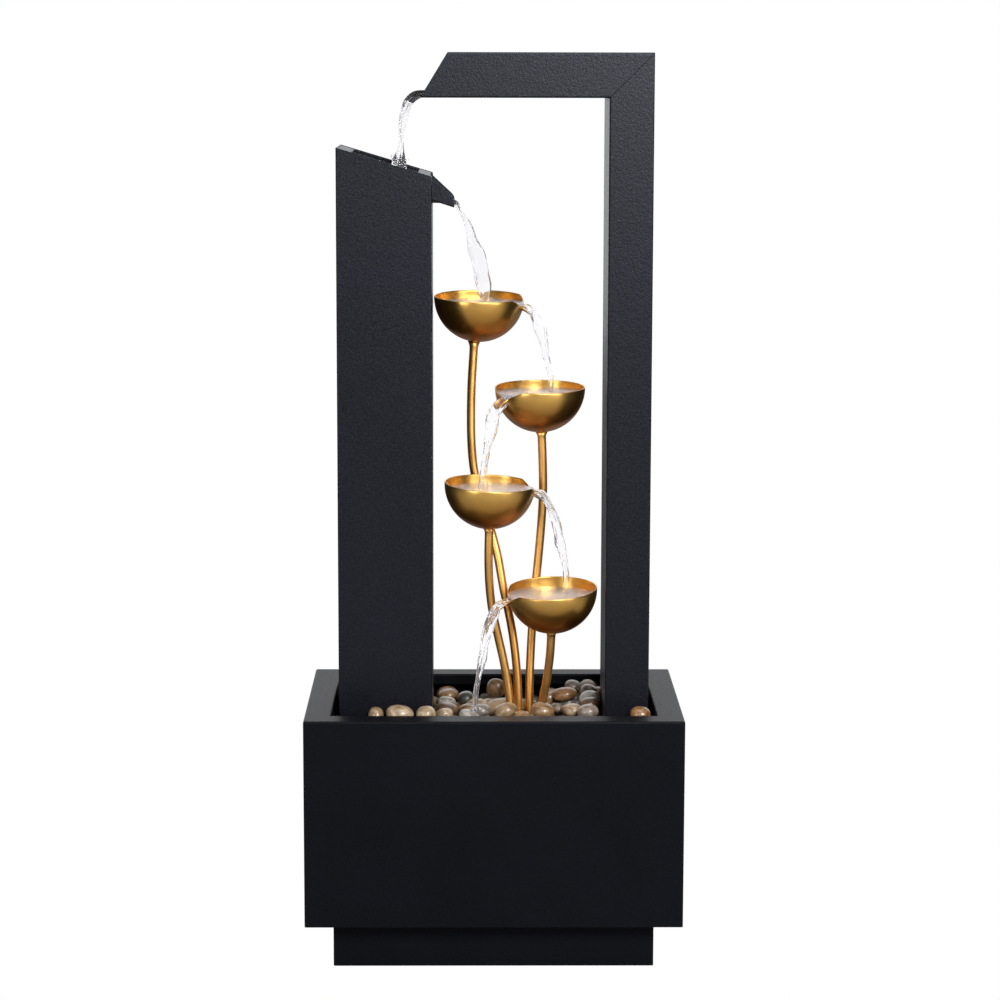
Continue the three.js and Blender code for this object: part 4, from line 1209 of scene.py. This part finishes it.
# %% Drops
def drop_balls(middles, radii, rows=7, columns=10):
    """Plain balls of few faces: one unit ball times each radius, moved to each middle."""
    return repeated_part(ball_grid(rows, columns)[None] * radii[:, None, None, None] + middles[:, None, None])


# Each landing's x, y and z, how far its drops spread, and how many there are.
LANDINGS = [(-88.6, 0, 745.0, 9.0, 18), (-8, 12, 614.5, 6.5, 12), (54.6, 4, 530.0, 5.0, 8),
            (-9.7, -27, 443.5, 5.5, 8), (69.5, -15, 342.5, 5.0, 8), (-19.4, -44, 233.5, 7.0, 12)]
DROP_RANDOM = np.random.default_rng(21)
middles, drop_radii = [], []
for x, y, z, spread, count in LANDINGS:
    ring = DROP_RANDOM.uniform(0.35, 1.0, count) * spread
    angle = DROP_RANDOM.uniform(0, 2 * np.pi, count)
    rise = DROP_RANDOM.uniform(0.1, 1.1, count) * (spread - 0.55 * ring)
    middles.append(np.column_stack([x + ring * np.cos(angle), y + ring * np.sin(angle), z + rise]))
    drop_radii.append(DROP_RANDOM.uniform(0.35, 0.95, count))
make_piece("splash_drops", drop_balls(np.concatenate(middles), np.concatenate(drop_radii)), FALLING_WATER)

# %% [markdown]
# ## Technical pieces
# The trays, the pump and its hose stay as the CAD model has them, because they are out of sight and
# their shapes are right. They only get their finishes.

# %% Finishes for the carried-over nodes
CARRIED = {
    STAINLESS: ["tray_left", "tray_right", "arm_diffuser", "stem_foot_plate", "hose_clamp"],
    RUBBER: ["cable_grommet"] + [f"floor_pad_{k}" for k in range(1, 5)]
    + [f"suction_cup_{k}" for k in range(1, 5)],
    PUMP_PLASTIC: ["pump_body", "volute_cover", "strainer_cover", "outlet_elbow"],
    KNOB_PLASTIC: ["flow_knob"],
    WHITE_CERAMIC: ["impeller_shaft"],
    ROTOR_PLASTIC: ["impeller"],
    HOSE_PLASTIC: ["supply_hose"],
}
for material, names in CARRIED.items():
    for name in names:
        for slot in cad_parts[name].material_slots:
            slot.material = material
print("carried-over nodes:", sum(len(names) for names in CARRIED.values()))

# %% [markdown]
# ## Light and floor
# A plain white studio: a pale floor, a bright backdrop behind, a dim room in front, and soft lamps.
# The surround looks white straight on and through water, but lights and mirrors as the room would.

# %% Studio
def straight_rays(tree):
    """One for rays that come from the camera or through water, and zero for all others."""
    path = add_node(tree, "ShaderNodeLightPath")
    return add_node(tree, "ShaderNodeMath",
                    {0: path.outputs["Is Camera Ray"], 1: path.outputs["Is Transmission Ray"]},
                    operation="MAXIMUM").outputs[0]


DIM, CEILING, BACKDROP = 0.04, 0.30, 1.30
FLOOR_HALF = 6.0
floor_mesh = bpy.data.meshes.new("studio_floor")
floor_mesh.from_pydata([(-FLOOR_HALF, -FLOOR_HALF, 0), (FLOOR_HALF, -FLOOR_HALF, 0),
                        (FLOOR_HALF, FLOOR_HALF, 0), (-FLOOR_HALF, FLOOR_HALF, 0)], [], [(0, 1, 2, 3)])
studio_floor = bpy.data.objects.new("studio_floor", floor_mesh)
bpy.context.scene.collection.objects.link(studio_floor)
material, tree, out = new_material("floor_paper")
paper = add_node(tree, "ShaderNodeBsdfDiffuse", {"Color": (0.30, 0.30, 0.30, 1)})
bright = add_node(tree, "ShaderNodeEmission", {"Color": (1, 1, 1, 1), "Strength": 1.0})
shown = add_node(tree, "ShaderNodeMixShader", {0: straight_rays(tree), 1: paper.outputs[0], 2: bright.outputs[0]})
tree.links.new(shown.outputs[0], out.inputs["Surface"])
floor_mesh.materials.append(material)

world = bpy.data.worlds.new("studio")
bpy.context.scene.world = world
world.use_nodes = True
tree = world.node_tree
tree.nodes.clear()
sky = add_node(tree, "ShaderNodeTexCoord").outputs["Generated"]
way = add_node(tree, "ShaderNodeSeparateXYZ", {0: sky})
behind = span(tree, way.outputs["Y"], 0.45, 0.85, 0.0, BACKDROP)
above = span(tree, way.outputs["Z"], 0.25, 0.85, DIM, CEILING)
strength = add_node(tree, "ShaderNodeMath", {0: behind, 1: above}, operation="ADD").outputs[0]
dim = add_node(tree, "ShaderNodeBackground", {"Color": (0.97, 0.98, 1.0, 1), "Strength": strength})
white = add_node(tree, "ShaderNodeBackground", {"Color": (1, 1, 1, 1), "Strength": 1.0})
both = add_node(tree, "ShaderNodeMixShader",
                {0: straight_rays(tree), 1: dim.outputs[0], 2: white.outputs[0]})
out = add_node(tree, "ShaderNodeOutputWorld")
tree.links.new(both.outputs[0], out.inputs["Surface"])


def soft_lamp(name, place, target, size, power):
    """A rectangular area lamp that faces a target point."""
    lamp = bpy.data.objects.new(name, bpy.data.lights.new(name, "AREA"))
    lamp.data.shape = "RECTANGLE"
    lamp.data.size, lamp.data.size_y = size
    lamp.data.energy = power
    lamp.rotation_euler = (Vector(place) - Vector(target)).to_track_quat("Z", "Y").to_euler()
    lamp.location = place
    bpy.context.scene.collection.objects.link(lamp)


soft_lamp("front_high", (0.60, -2.1, 1.45), (0.0, 0, 0.65), (0.9, 0.7), 76)
soft_lamp("left", (-1.7, -2.0, 0.95), (0, 0, 0.55), (0.5, 1.6), 27)
soft_lamp("right", (1.75, -1.9, 0.95), (0, 0, 0.55), (0.4, 1.6), 20)
soft_lamp("overhead", (0.0, -0.5, 2.4), (0, 0, 0.3), (1.4, 1.0), 16)
bpy.context.scene.view_settings.view_transform = "Standard"
